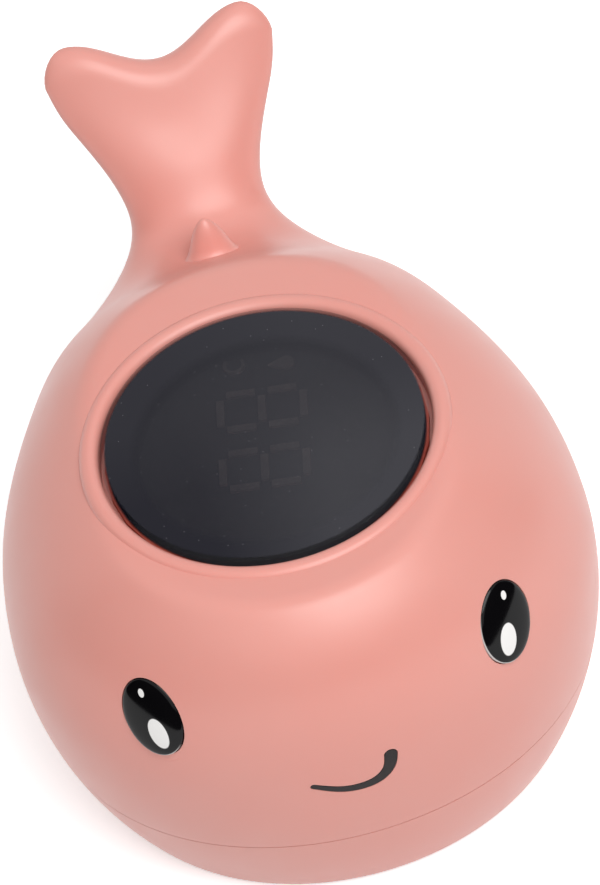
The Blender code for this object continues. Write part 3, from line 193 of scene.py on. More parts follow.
# The graded card behind the object: its levels at the low and the high end, on the left and on the
# right, the heights and the sides where those ends lie, its colour, how far behind it stands, how thick
# it is, and its half width with its lowest and highest points.
GRADED_CARD_LEVELS = ((0.63, 0.42), (0.84, 1.2))
GRADED_CARD_RISE = (0.352, 0.414)
GRADED_CARD_SIDES = (-0.026, 0.028)
GRADED_CARD_SHADE = (0.97, 0.97, 1.0, 1.0)
GRADED_CARD_BEHIND = 0.3
GRADED_CARD_THICK = 0.01
GRADED_CARD_SIZE = (0.2, 0.2, 0.6)

# Facets of the shown surface and of the hollow behind it.
AROUND_BODY = 256
NOSE_ROWS = 96
LENGTH_ROWS = 150
EDGE_ROWS = 8
AROUND_CORE = 72
CORE_NOSE_ROWS = 16
CORE_LENGTH_ROWS = 40
AROUND_DISPLAY = 192


def millimetres(name, size, about):
    """A length that a user may change, shown in the scene's unit."""
    return bpy.props.FloatProperty(
        name=name, default=size * MM, min=0.0, unit="LENGTH", precision=5, description=about
    )


def angle(name, size, about):
    """An angle that a user may change, given in degrees."""
    return bpy.props.FloatProperty(
        name=name, default=math.radians(size), subtype="ANGLE", description=about
    )


def power(name, watts, about):
    """The power of a lamp, which a user may change."""
    return bpy.props.FloatProperty(
        name=name, default=watts, min=0.0, subtype="POWER", description=about
    )


def linear(shade):
    """An sRGB hex value as linear colour."""
    parts = [int(shade[i : i + 2], 16) / 255 for i in (1, 3, 5)]
    return [p / 12.92 if p <= 0.04045 else ((p + 0.055) / 1.055) ** 2.4 for p in parts]


def colour(name, shade, about):
    """A colour that a user may change, given as an sRGB hex value."""
    return bpy.props.FloatVectorProperty(
        name=name, size=3, subtype="COLOR", min=0.0, max=1.0, default=linear(shade), description=about
    )


class WhaleBodySizes(bpy.types.PropertyGroup):
    """Sizes and colours of the two body shells."""

    nose_reach: millimetres("Nose reach", 37.6, "From the widest section to the tip of the nose")
    deck_height: millimetres("Deck height", 55.0, "Height of the flat deck round the display")
    deck_soft: millimetres("Deck blend", 1.0, "How far the deck blends into the round back")
    base_soft: millimetres("Base blend", 1.6, "How far the flat base blends into the round belly")
    wall: millimetres("Wall", 2.4, "Thickness of the moulded wall")
    seam_height: millimetres("Seam height", 15.0, "Height of the joint between the shells")
    seam_gap: millimetres("Seam gap", 0.16, "Gap that shows between the shells")
    bead_radius: millimetres("Bead radius", 1.4, "Radius of the round bead about the display")
    bead_sink: millimetres("Bead sink", 0.9, "How far the middle of the bead lies below the deck")
    opening_radius: millimetres("Opening radius", 23.55, "Radius of the opening for the lens")
    coral: colour("Coral", "#E7A095", "Colour of the moulded body")
    coral_warm: colour("Warm coral", "#E99B8F", "Colour of the slightly warmer patches in the moulding")


class WhaleDisplaySizes(bpy.types.PropertyGroup):
    """Sizes and colours of the display."""

    centre: millimetres("Centre", 4.7, "From the widest section to the display's centre, towards the tail")
    lens_radius: millimetres("Lens radius", 23.25, "Radius of the round lens")
    digit_height: millimetres("Digit height", 12.9, "Height of a digit")
    digit_width: millimetres("Digit width", 7.55, "Width of a digit")
    digit_pitch: millimetres("Digit pitch", 10.95, "From the middle of one digit to the next")
    digit_bar: millimetres("Segment width", 1.1, "Width of one segment")
    digit_turn: angle("Digit turn", 9.7, "How far the digits are turned clockwise")
    smoke: colour("Smoke", "#151421", "Colour of the smoked lens")
    segment: colour("Segment", "#E0D3D0", "Colour of a segment that is not lit")


class WhaleFaceSizes(bpy.types.PropertyGroup):
    """Sizes and colours of the eyes and the mouth."""

    eye_across: millimetres("Eye place", 25.25, "From the middle of the face to the middle of an eye")
    eye_height: millimetres("Eye level", 41.05, "Height of the middle of an eye above the base")
    eye_long: millimetres("Eye half height", 5.85, "Half the height of an eye")
    eye_short: millimetres("Eye half width", 4.35, "Half the width of an eye")
    eye_dome: millimetres("Eye dome", 0.85, "How far the eye's middle stands above its rim")
    eye_sink: millimetres("Eye sink", 0.35, "How far the eye's rim lies below the skin at its middle")
    eye_depth: millimetres("Eye depth", 1.4, "Thickness of the eye's plug below its rim")
    eye_cant: angle("Eye cant", 27.0, "How far the eye's top leans inwards")
    ink: colour("Ink", "#0C0B0D", "Colour of the black of the eyes")
    # The same white also paints the highlight along the lower left rim of each eye.
    white: colour("White", "#F4F2F0", "Colour of the white ovals in the eyes")
    mouth: colour("Mouth", "#150E10", "Colour of the mouth")


class WhaleStageSizes(bpy.types.PropertyGroup):
    """Camera, floor and light."""

    elevation: angle("Elevation", 49.0, "How far the camera looks down")
    yaw: angle("Yaw", -1.18, "How far the camera stands to one side")
    roll: angle("Roll", 14.22, "How far the picture is turned")
    distance: bpy.props.FloatProperty(
        name="Distance", default=1.1, unit="LENGTH", description="From the camera to the body"
    )
    focal: bpy.props.FloatProperty(
        name="Focal length",
        default=317.25,
        subtype="DISTANCE_CAMERA",
        description="Focal length of the camera",
    )
    paper: colour("Paper", "#FFFFFF", "Colour of the floor and the backdrop")
    daylight: bpy.props.FloatProperty(
        name="Surround light", default=0.45, min=0.0, description="Strength of the light from all round"
    )
    key_power: power("Key power", 27.5, "Power of the large soft lamp")
    tail_power: power("Tail light power", 1.0, "Power of the spot on the flukes")
    key_place: bpy.props.FloatVectorProperty(
        name="Key place",
        default=(0.45, -1.0, 1.68),
        subtype="XYZ",
        unit="LENGTH",
        description="Middle of the lamp",
    )


def shift_y():
    """How far the body's own frame lies from the CAD frame, along y."""
    low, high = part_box("display_lens")
    return (low.y + high.y) / 2 - bpy.context.scene.whale_display.centre


# Meshes


def mesh_from(name, points, faces):
    """A closed mesh with its faces turned outwards."""
    mesh = bpy.data.meshes.new(name)
    mesh.from_pydata([tuple(map(float, p)) for p in points], [], faces)
    shape = bmesh.new()
    shape.from_mesh(mesh)
    turn_outwards(shape)
    shape.to_mesh(mesh)
    shape.free()
    return mesh


def turn_outwards(shape):
    bmesh.ops.recalc_face_normals(shape, faces=shape.faces)
    if shape.calc_volume(signed=True) < 0:
        bmesh.ops.reverse_faces(shape, faces=shape.faces)


def new_piece(name, mesh):
    made = bpy.data.objects.new(name, mesh)
    bpy.context.collection.objects.link(made)
    return made


def combine(target, mesh, operation):
    """Join, cut or clip a shape with a Boolean that is applied later."""
    tool = new_piece(f"{target.name}_tool_{len(target.modifiers)}", mesh)
    step = target.modifiers.new(operation.title(), "BOOLEAN")
    step.operation = operation
    step.object = tool


def add(target, mesh):
    combine(target, mesh, "UNION")


def cut(target, mesh):
    combine(target, mesh, "DIFFERENCE")


def clip(target, mesh):
    combine(target, mesh, "INTERSECT")


def baked(made):
    """Apply an object's modifiers and return the mesh alone."""
    graph = bpy.context.evaluated_depsgraph_get()
    mesh = bpy.data.meshes.new_from_object(made.evaluated_get(graph), depsgraph=graph)
    tools = [step.object for step in made.modifiers if step.type == "BOOLEAN"]
    for old in [made, *tools]:
        bpy.data.objects.remove(old, do_unlink=True)
    return mesh


def finished(name, mesh, finish, nodes=(), sharp=35.0):
    """A shown piece in the CAD frame, with its finish, smooth but for its sharp edges."""
    mesh.transform(Matrix.Translation((0.0, shift_y(), 0.0)))
    mesh.materials.clear()
    mesh.materials.append(finish)
    mesh.shade_smooth()
    mesh.set_sharp_from_angle(angle=math.radians(sharp))
    made = new_piece(name, mesh)
    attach(made, "root")
    if nodes:
        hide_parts(*nodes)
    return made


def turned(name, profile, centre=(0.0, 0.0), around=48, stretch=(1.0, 1.0)):
    """Turn a (radius, height) outline about a vertical axis."""
    points = []
    faces = []
    rings = []
    for radius, height in profile:
        if radius < 1e-9:
            rings.append([len(points)] * around)
            points.append((centre[0], centre[1], height))
            continue
        rings.append(list(range(len(points), len(points) + around)))
        for i in range(around):
            a = 2 * math.pi * (i + 0.5) / around
            x = centre[0] + stretch[0] * radius * math.cos(a)
            y = centre[1] + stretch[1] * radius * math.sin(a)
            points.append((x, y, height))
    closed = profile[0][0] > 1e-9
    for low, high in zip(rings, rings[1:] + rings[:1] if closed else rings[1:]):
        for i in range(around):
            j = (i + 1) % around
            corners = dict.fromkeys((low[i], low[j], high[j], high[i]))
            if len(corners) > 2:
                faces.append(tuple(corners))
    return mesh_from(name, points, faces)


def disc(name, radius, low, high, centre=(0.0, 0.0), around=32, stretch=(1.0, 1.0)):
    profile = [(0.0, low), (radius, low), (radius, high), (0.0, high)]
    return turned(name, profile, centre, around, stretch)


def prism(name, outline, low, high):
    """Raise a flat (x, y) outline from one height to another."""
    count = len(outline)
    points = [(x, y, low) for x, y in outline] + [(x, y, high) for x, y in outline]
    faces = [tuple(range(count))[::-1], tuple(range(count, 2 * count))]
    for i in range(count):
        j = (i + 1) % count
        faces.append((i, j, count + j, count + i))
    return mesh_from(name, points, faces)


def rectangle(low, high):
    """Outline between two corners, anticlockwise."""
    return [(low[0], low[1]), (high[0], low[1]), (high[0], high[1]), (low[0], high[1])]


def arc(centre, radius, start, sweep, steps=40):
    """Points on an arc, from a start through a sweep, both in degrees."""
    turns = [math.radians(start + sweep * i / steps) for i in range(steps + 1)]
    return [(centre[0] + radius * math.cos(a), centre[1] + radius * math.sin(a)) for a in turns]


def slab(name, low, high):
    """A block wider than the whole body, between two heights."""
    reach = 0.2
    return prism(name, rectangle((-reach, -reach), (reach, reach)), low, high)


def rounded_rectangle(length, width, corner, centre, steps=8):
    """Outline with quarter-circle corners, anticlockwise."""
    outline = []
    for quarter, (sx, sy) in enumerate(((1, 1), (-1, 1), (-1, -1), (1, -1))):
        cx = centre[0] + sx * (length / 2 - corner)
        cy = centre[1] + sy * (width / 2 - corner)
        for i in range(steps + 1):
            a = math.pi / 2 * (quarter + i / steps)
            outline.append((cx + corner * math.cos(a), cy + corner * math.sin(a)))
    return outline


# The body's form


def spline(places, values, t, first_slope):
    """Cubic through the values, with a given slope at the start and no curvature at the end."""
    count = len(places)
    step = np.diff(places)
    rise = np.diff(values) / step
    matrix = np.eye(count)
    right = np.zeros(count)
    matrix[0, :2] = 2 * step[0], step[0]
    right[0] = 6 * (rise[0] - first_slope)
    for i in range(1, count - 1):
        matrix[i, i - 1 : i + 2] = step[i - 1], 2 * (step[i - 1] + step[i]), step[i]
        right[i] = 6 * (rise[i] - rise[i - 1])
    bend = np.linalg.solve(matrix, right)
    k = np.clip(np.searchsorted(places, t, side="right") - 1, 0, count - 2)
    d = t - places[k]
    h = step[k]
    slope = rise[k] - h * (2 * bend[k] + bend[k + 1]) / 6
    return values[k] + d * slope + d**2 * bend[k] / 2 + d**3 * (bend[k + 1] - bend[k]) / (6 * h)


def soft_least(a, b, soft):
    """The lesser of two heights, rounded where they meet."""
    near = np.maximum(soft - np.abs(a - b), 0.0) / soft
    return np.minimum(a, b) - near**2 * soft / 4


def station_curves(rows):
    table = np.array(STATIONS)
    table[:, :5] *= MM
    run = np.hypot(np.diff(table[:, 0]), np.diff(table[:, 1]))
    places = np.concatenate([[0.0], np.cumsum(run)])
    t = np.linspace(0.0, places[-1], rows)
    slopes = (1.0, 0.0, 0.0, 0.0, 0.0, 0.0)
    return [spline(places, table[:, k], t, slope) for k, slope in enumerate(slopes)]


def section(around, width, up, down, place, lean=0.0):
    """One oval section of the body, across the spine."""
    angle = np.arange(around) * 2 * np.pi / around
    rise = np.sin(angle)
    rise = rise * np.where(rise > 0, up, down)
    tilt = math.radians(lean)
    y = place[0] - math.sin(tilt) * rise
    z = place[1] + math.cos(tilt) * rise
    return np.stack([width * np.cos(angle), y, z], axis=1)


def nose_sections(around, rows):
    """Sections from the nose to the widest one, which shrink by a power law."""
    _, z, width, up, down, _ = np.array(STATIONS[0]) * MM
    reach = bpy.context.scene.whale_body.nose_reach
    made = []
    for i in range(rows):
        t = math.cos(math.pi / 2 * i / rows)
        share = [(1 - t**p) ** (1 / p) for p in (PLAN_POWER, CROWN_POWER, KEEL_POWER)]
        made.append(section(around, width * share[0], up * share[1], down * share[2], (-reach * t, z)))
    return made


def fluke_edge(last):
    """Sections that close the tail in a round edge, as thin as a line at its end."""
    y, z, width, up, down, lean = last
    tilt = math.radians(lean)
    made = []
    for i in range(1, EDGE_ROWS + 1):
        a = math.pi / 2 * i / EDGE_ROWS
        thin = math.cos(a) if i < EDGE_ROWS else 0.0
        ahead = FLUKE_EDGE * math.sin(a)
        place = (y + ahead * math.cos(tilt), z + ahead * math.sin(tilt))
        sizes = (width - FLUKE_EDGE * (1 - thin), up * thin, down * thin)
        made.append(section(AROUND_BODY, *sizes, place, lean))
    return made


def grow_lobes(rows):
    """Lengthen the tail where it is wide, so that two lobes stand round a notch."""
    tilt = math.radians(FLUKE_LEAN)
    ahead = (rows[..., 1] - FLUKE_ROOT[0]) * math.cos(tilt) + (rows[..., 2] - FLUKE_ROOT[1]) * math.sin(tilt)
    share = np.clip(ahead / FLUKE_GROWTH, 0.0, 1.0)
    share = share**2 * (3 - 2 * share)
    side = np.clip(np.abs(rows[..., 0]) / FLUKE_LOBE_X, 0.0, 1.35)
    growth = share * FLUKE_NOTCH * (1 - np.cos(np.pi * side)) / 2
    rows[..., 1] += growth * math.cos(tilt)
    rows[..., 2] += growth * math.sin(tilt)


def flatten(rows, inset=0.0):
    """Level the deck, blended into the round back."""
    sizes = bpy.context.scene.whale_body
    before_tail = rows[..., 1] < FLUKE_ROOT[0]
    flat = soft_least(rows[..., 2], sizes.deck_height - inset, sizes.deck_soft)
    rows[..., 2] = np.where(before_tail, flat, rows[..., 2])


def body_rows():
    """Every section of the body's skin, from the nose to the edge of the tail."""
    rows = nose_sections(AROUND_BODY, NOSE_ROWS)
    stations = list(zip(*station_curves(LENGTH_ROWS)))
    rows += [section(AROUND_BODY, w, up, down, (y, z), lean) for y, z, w, up, down, lean in stations]
    rows = np.array(rows + fluke_edge(stations[-1]))
    grow_lobes(rows)
    flatten(rows)
    soft = bpy.context.scene.whale_body.base_soft
    rows[..., 2] = -soft_least(-rows[..., 2], 0.0, soft)
    return rows


def moved_inwards(rows, inset):
    """Move each point of a smooth grid along its own normal."""
    along = np.gradient(rows, axis=0)
    around = np.roll(rows, -1, axis=1) - np.roll(rows, 1, axis=1)
    out = np.cross(along, around)
    out[0] = (0.0, -1.0, 0.0)
    out /= np.linalg.norm(out, axis=2, keepdims=True)
    return rows - inset * out


def core_rows(inset):
    """The skin's sections moved inwards, up to the root of the tail, then closed by a round end."""
    rows = nose_sections(AROUND_CORE, CORE_NOSE_ROWS)
    for y, z, width, up, down, lean in zip(*station_curves(CORE_LENGTH_ROWS)):
        if y < CORE_END:
            rows.append(section(AROUND_CORE, width, up, down, (y, z), lean))
    rows = moved_inwards(np.array(rows), inset)
    last = rows[-1]
    middle = last.mean(axis=0)
    ends = []
    for i in range(1, EDGE_ROWS + 1):
        a = math.pi / 2 * i / EDGE_ROWS
        thin = math.cos(a) if i < EDGE_ROWS else 0.0
        scale = (CORE_END_WIDTH + (1 - CORE_END_WIDTH) * thin, thin, thin)
        ends.append(middle + (last - middle) * scale + (0.0, CORE_END_REACH * math.sin(a), 0.0))
    rows = np.concatenate([rows, ends])
    flatten(rows, inset)
    return rows


def loft(name, rows):
    """Skin the sections. The first is a point, and the last folds flat on itself."""
    count = rows.shape[1]
    points = [rows[0, 0]] + [p for row in rows[1:] for p in row]
    index = [[0] * count]
    index += [[1 + r * count + j for j in range(count)] for r in range(len(rows) - 1)]
    index[-1] = [index[-1][min(j, count - j)] for j in range(count)]
    faces = []
    for low, high in zip(index, index[1:]):
        for j in range(count):
            k = (j + 1) % count
            corners = dict.fromkeys((low[j], low[k], high[k], high[j]))
            if len(corners) > 2:
                faces.append(tuple(corners))
    mesh = mesh_from(name, points, faces)
    shape = bmesh.new()
    shape.from_mesh(mesh)
    loose = [v for v in shape.verts if not v.link_faces]
    bmesh.ops.delete(shape, geom=loose, context="VERTS")
    shape.to_mesh(mesh)
    shape.free()
    return mesh


def core_between(name, inset, low, high):
    """The hollow's form at an inset, cut off at two heights."""
    made = new_piece(name, loft(name, core_rows(inset)))
    clip(made, slab(name, low, high))
    return baked(made)


# Sizes of what is inside, taken from the frame's own pieces


def node_span(node, axis):
    low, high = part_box(node)
    return low[axis], high[axis]


def ledge_span():
    """Heights of the ledge that carries the lens, from the gasket that lies on it."""
    top = node_span("lens_gasket", 2)[0] - CLEAR
    return top - LEDGE_THICK, top


def display_bezel(sizes, display):
    """The ring about the lens: a round bead above the deck, a wall and a ledge below it."""
    low, top = ledge_span()
    bead = sizes.bead_radius
    middle = sizes.opening_radius + bead
    height = sizes.deck_height - sizes.bead_sink
    window = sizes.opening_radius - LEDGE_WIDTH
    outline = [(window, low), (middle + bead, low)]
    for i in range(33):
        a = math.pi * i / 32
        outline.append((middle + bead * math.cos(a), height + bead * math.sin(a)))
    outline += [(sizes.opening_radius, top), (window, top)]
    return turned("bezel", outline, (0.0, display.centre), AROUND_DISPLAY)


def fin():
    """The small hump before the tail: round-topped, with a foot that flares into the slope."""
    steps = 40
    outline = [(0.0, -FIN_ROOT), (FIN_RADIUS + FIN_FLARE + FIN_ROOT, -FIN_ROOT)]
    for i in range(steps):
        a = math.pi / 2 * i / (steps - 1)
        share = math.sin(a) ** 1.5
        wide = FIN_RADIUS * math.cos(a) ** 1.2 + FIN_FLARE * (1 - share) ** 8
        outline.append((wide if i < steps - 1 else 0.0, FIN_HEIGHT * share))
    mesh = turned("fin", outline, (0.0, 0.0), 96, (1.0, FIN_THINNESS))
    slope = math.radians(FIN_SLOPE)
    lean = math.radians(FIN_LEAN)
    down_slope = (0.0, math.cos(slope), -math.sin(slope))
    axis = (0.0, math.sin(lean), math.cos(lean))
    turn = Matrix(((1.0, 0.0, 0.0), down_slope, axis)).transposed().to_4x4()
    mesh.transform(Matrix.Translation(FIN_PLACE) @ turn)
    return mesh


def nose_depth(x, z):
    """Where the nose's skin lies in front of the widest section, at a place seen from the front."""
    _, middle, width, up, _, _ = np.array(STATIONS[0]) * MM
    low = 0.0
    high = 1.0
    for _ in range(40):
        t = (low + high) / 2
        wide = width * (1 - t**PLAN_POWER) ** (1 / PLAN_POWER)
        tall = up * (1 - t**CROWN_POWER) ** (1 / CROWN_POWER)
        inside = (x / wide) ** 2 + ((z - middle) / tall) ** 2 < 1
        low, high = (t, high) if inside else (low, t)
    return -bpy.context.scene.whale_body.nose_reach * low


def eye_frame(side):
    """The place and turn of an eye: z out of the face, y along its long axis."""
    face = bpy.context.scene.whale_face
    x, z = face.eye_across, face.eye_height
    y = nose_depth(x, z)
    _, middle, width, up, _, _ = np.array(STATIONS[0]) * MM
    reach = bpy.context.scene.whale_body.nose_reach
    out = Vector((x / width**2, y / reach**2, (z - middle) / up**2)).normalized()
    rise = (Vector((0, 0, 1)) - out * out.z).normalized()
    across = rise.cross(out)
    cant = face.eye_cant
    long_axis = rise * math.cos(cant) + across * (math.sin(cant) if across.x > 0 else -math.sin(cant))
    short_axis = long_axis.cross(out)
    turn = Matrix((short_axis, long_axis, out)).transposed().to_4x4()
    place = Matrix.Translation((x, y, z)) @ turn
    return place if side > 0 else Matrix.Diagonal((-1, 1, 1, 1)) @ place


def placed(mesh, place):
    """Move a mesh to a frame, and turn its faces back where the frame mirrors it."""
    mesh.transform(place)
    if place.determinant() < 0:
        mesh.flip_normals()
    return mesh


def curve_through(places, count):
    places = np.array(places, float)
    run = np.concatenate([[0.0], np.cumsum(np.linalg.norm(np.diff(places, axis=0), axis=1))])
    t = np.linspace(0.0, run[-1], count)
    ends = (places[1] - places[0]) / run[1]
    return np.stack([spline(run, places[:, k], t, ends[k]) for k in range(places.shape[1])], axis=1)


def smile_outline(spare):
    """The stroke's outline in x and z: thin on one side, thick on the other, with round ends."""
    line = curve_through(np.array(SMILE) * MM, 49)
    along = np.gradient(line, axis=0)
    along /= np.linalg.norm(along, axis=1)[:, None]
    across = np.stack([-along[:, 1], along[:, 0]], axis=1)
    half = np.linspace(*SMILE_WIDTHS, len(line))[:, None] / 2 + spare
    outline = list(line - across * half)
    outline += round_tip(line[-1], -across[-1], along[-1], half[-1, 0])
    outline += list((line + across * half)[::-1])
    outline += round_tip(line[0], across[0], -along[0], half[0, 0])
    return [tuple(p) for p in outline]


def round_tip(centre, start, ahead, radius, steps=12):
    turns = [math.pi * i / steps for i in range(1, steps)]
    return [centre + radius * (start * math.cos(a) + ahead * math.sin(a)) for a in turns]


def smile_block(name, spare, depth):
    """The stroke as a block through the nose's wall, from a depth below the skin outwards."""
    deep = depth - bpy.context.scene.whale_body.nose_reach
    mesh = prism(name, smile_outline(spare), deep, deep - 5.0 * MM)
    points = np.array([(v.co.x, v.co.z, v.co.y) for v in mesh.vertices])
    faces = [tuple(f.vertices) for f in mesh.polygons]
    return mesh_from(name, points, faces)


# Materials


def add_node(tree, kind, inputs=None, **settings):
    """Add a node, with its settings, and its inputs set or linked."""
    made = tree.nodes.new(kind)
    for key, value in settings.items():
        setattr(made, key, value)
    for key, value in (inputs or {}).items():
        if isinstance(value, bpy.types.NodeSocket):
            tree.links.new(value, made.inputs[key])
        else:
            made.inputs[key].default_value = value
    return made


def maths(tree, operation, *values):
    """The result of a Math node."""
    return add_node(tree, "ShaderNodeMath", dict(enumerate(values)), operation=operation).outputs[0]


def vector_maths(tree, operation, *values):
    """The outputs of a Vector Math node."""
    return add_node(tree, "ShaderNodeVectorMath", dict(enumerate(values)), operation=operation).outputs


def carried(tree, value, start, end, low=0.0, high=1.0):
    """A value carried from one range to another, and held at its ends."""
    inputs = {"Value": value, "From Min": start, "From Max": end, "To Min": low, "To Max": high}
    return add_node(tree, "ShaderNodeMapRange", inputs).outputs["Result"]


def mixed(tree, share, first, second):
    """Two colours, each a value or a socket, mixed by a share."""
    inputs = {"Factor": share, "A": first, "B": second}
    return add_node(tree, "ShaderNodeMix", inputs, data_type="RGBA").outputs["Result"]


def noise(tree, place, grain, detail):
    """Cloudy noise with a grain in metres."""
    inputs = {"Vector": place, "Scale": 1 / grain, "Detail": detail}
    return add_node(tree, "ShaderNodeTexNoise", inputs).outputs["Fac"]


def bare_material(name):
    """A node material with no nodes yet, and its tree."""
    made = bpy.data.materials.new(name)
    made.use_nodes = True
    made.node_tree.nodes.clear()
    return made, made.node_tree


def new_material(name):
    """A material with one shader, and its tree and that shader."""
    made, tree = bare_material(name)
    shader = add_node(tree, "ShaderNodeBsdfPrincipled")
    add_node(tree, "ShaderNodeOutputMaterial", {"Surface": shader.outputs["BSDF"]})
    return made, tree, shader


def object_place(tree):
    return add_node(tree, "ShaderNodeTexCoord").outputs["Object"]


def darker(shade, share):
    return [c * share for c in shade]


def two_tone(tree, place, grain, first, second):
    """Two close colours that drift into each other over patches of the given size in metres."""
    drift = carried(tree, noise(tree, place, grain, 2.0), 0.2, 0.8)
    return mixed(tree, drift, (*first, 1.0), (*second, 1.0))


def rough_band(tree, place, grain, low, high):
    """Roughness that wanders between two values."""
    return carried(tree, noise(tree, place, grain, 3.0), 0.3, 0.7, low, high)


def grain_bump(tree, place, grain, height):
    """Fine relief with a grain and a height in metres."""
    inputs = {"Height": noise(tree, place, grain, 2.0), "Distance": height, "Strength": 1.0}
    return add_node(tree, "ShaderNodeBump", inputs).outputs["Normal"]


def drifting_material(name, grain, first, second, rough):
    """A material of two close colours, whose roughness has a grain and two ends of its own."""
    made, tree, shader = new_material(name)
    place = object_place(tree)
    tree.links.new(two_tone(tree, place, grain, first, second), shader.inputs["Base Color"])
    tree.links.new(rough_band(tree, place, *rough), shader.inputs["Roughness"])
    return made, tree, shader, place


def spark_eroded_coral_abs():
    """ABS from a finely spark-eroded mould: a satin skin that softens every reflection."""
    sizes = bpy.context.scene.whale_body
    made, tree, shader, place = drifting_material(
        "spark_eroded_coral_abs", 28 * MM, sizes.coral, sizes.coral_warm, (6 * MM, 0.33, 0.38)
    )
    # The eroded grain is about 0.1 mm across; it is drawn at 0.25 mm so that a pixel can hold it.
    tree.links.new(grain_bump(tree, place, 0.25 * MM, 0.004 * MM), shader.inputs["Normal"])
    shader.inputs["IOR"].default_value = 1.54
    shader.inputs["Subsurface Weight"].default_value = 0.12
    shader.inputs["Subsurface Radius"].default_value = (1.0, 0.45, 0.35)
    shader.inputs["Subsurface Scale"].default_value = 1.2 * MM
    return made


def polished_smoked_acrylic():
    """Cast acrylic sheet, dyed grey-black and flame polished: a mirror-like face that hides what is below."""
    display = bpy.context.scene.whale_display
    made, tree, shader = new_material("polished_smoked_acrylic")
    place = object_place(tree)
    tint = two_tone(tree, place, 30 * MM, display.smoke, darker(display.smoke, 0.8))
    dusty = mixed(tree, dust_specks(tree, place), tint, (*linear(DUST_SHADE), 1.0))
    tree.links.new(dusty, shader.inputs["Base Color"])
    tree.links.new(rough_band(tree, place, 9 * MM, 0.03, 0.06), shader.inputs["Roughness"])
    shader.inputs["IOR"].default_value = 1.49
    tree.links.new(lens_cover(tree, place, display.centre), shader.inputs["Alpha"])
    return made


def dust_specks(tree, place):
    """One on a few small round specks, nought elsewhere."""
    inputs = {"Vector": place, "Scale": 1 / DUST_CELL}
    cells = add_node(tree, "ShaderNodeTexVoronoi", inputs, voronoi_dimensions="2D").outputs
    close = maths(tree, "LESS_THAN", cells["Distance"], DUST_REACH)
    few = maths(tree, "GREATER_THAN", cells["Color"], DUST_RARITY)
    return maths(tree, "MULTIPLY", close, few)


def lens_cover(tree, place, centre):
    """How much of what is below the lens hides, by distance from its middle.

    A window lets a little through, black print lies round it, and a clear rim past the print. Only the
    upper half of the sheet is dyed there, so that nothing is dimmed twice.
    """
    height = add_node(tree, "ShaderNodeSeparateXYZ", {"Vector": place}).outputs["Z"]
    half_way = sum(node_span("display_lens", 2)) / 2
    zones = []
    for share, shift, near, far, inner in LENS_ZONES:
        middle = (0.0, centre + shift_y() + shift, 0.0)
        away = vector_maths(tree, "SUBTRACT", place, middle)[0]
        away = vector_maths(tree, "MULTIPLY", away, (1.0, 1.0, 0.0))[0]
        away = vector_maths(tree, "LENGTH", away)["Value"]
        dyed = carried(tree, height, half_way - 0.1 * MM, half_way, high=share)
        ends = (dyed, 1.0) if inner else (1.0, dyed)
        zones.append(carried(tree, away, near, far, *ends))
    return maths(tree, "MULTIPLY", *zones)


def masked_light_guide():
    """Grey masking ink, screen printed on the light guide and the film: dull and slightly grainy."""
    first, second = linear("#979698"), linear("#8E8D90")
    return drifting_material("screen_printed_masking_ink", 3 * MM, first, second, (1 * MM, 0.55, 0.7))[0]


def unlit_segment_resin():
    """Diffusing resin cast over a light chip: milky and slightly warm when it is not lit."""
    shade = bpy.context.scene.whale_display.segment
    rough = (0.8 * MM, 0.45, 0.6)
    return drifting_material("unlit_segment_resin", 2 * MM, shade, darker(shade, 0.7), rough)[0]


def doming_resin():
    """Printed film under poured clear resin: a wet-looking black oval with two white ovals in it and a
    painted highlight along its lower left rim.
    """
    face = bpy.context.scene.whale_face
    made, tree, shader = new_material("poured_doming_resin")
    place = object_place(tree)
    black = two_tone(tree, place, 4 * MM, face.ink, darker(face.ink, 0.8))
    uv = add_node(tree, "ShaderNodeUVMap", uv_map="face").outputs["UV"]
    # The white mask holds the painted rim highlight and the two printed ovals.
    white = painted_rim_highlight(tree, uv, place)
    for centre, radii in EYE_OVALS:
        white = maths(tree, "MAXIMUM", oval_mask(tree, uv, centre, radii), white)
    tree.links.new(mixed(tree, white, black, (*face.white, 1.0)), shader.inputs["Base Color"])
    tree.links.new(rough_band(tree, place, 3 * MM, 0.06, 0.10), shader.inputs["Roughness"])
    shader.inputs["IOR"].default_value = 1.45
    shader.inputs["Specular IOR Level"].default_value = 0.25
    return made


def oval_mask(tree, uv, centre, radii):
    """One inside an oval on the eye's own map, nought outside it, with a thin soft edge."""
    away = vector_maths(tree, "SUBTRACT", uv, (*centre, 0.0))[0]
    away = vector_maths(tree, "DIVIDE", away, (*radii, 1.0))[0]
    return carried(tree, vector_maths(tree, "LENGTH", away)["Value"], 1.03, 0.97)


def painted_rim_highlight(tree, uv, place):
    """A painted highlight: white in a thin line at the edge of each eye, only along its lower left, where the
    rim catches the light.
    """
    edge = carried(tree, vector_maths(tree, "LENGTH", uv)["Value"], 0.968, 0.985)
    across = add_node(tree, "ShaderNodeSeparateXYZ", {"Vector": place}).outputs["X"]
    left = maths(tree, "MULTIPLY", maths(tree, "SIGN", across), -0.6)
    towards = add_node(tree, "ShaderNodeCombineXYZ", {"X": left, "Y": -0.8}).outputs[0]
    side = vector_maths(tree, "DOT_PRODUCT", uv, towards)["Value"]
    return maths(tree, "MULTIPLY", edge, carried(tree, side, 0.3, 0.7, high=0.8))


def pad_printed_ink():
    """Two-part ink laid on the moulding: an even black with a low sheen."""
    ink = bpy.context.scene.whale_face.mouth
    rough = (0.6 * MM, 0.38, 0.48)
    made, _, shader, _ = drifting_material("pad_printed_ink", 2 * MM, ink, darker(ink, 0.85), rough)
    shader.inputs["Specular IOR Level"].default_value = 0.25
    return made


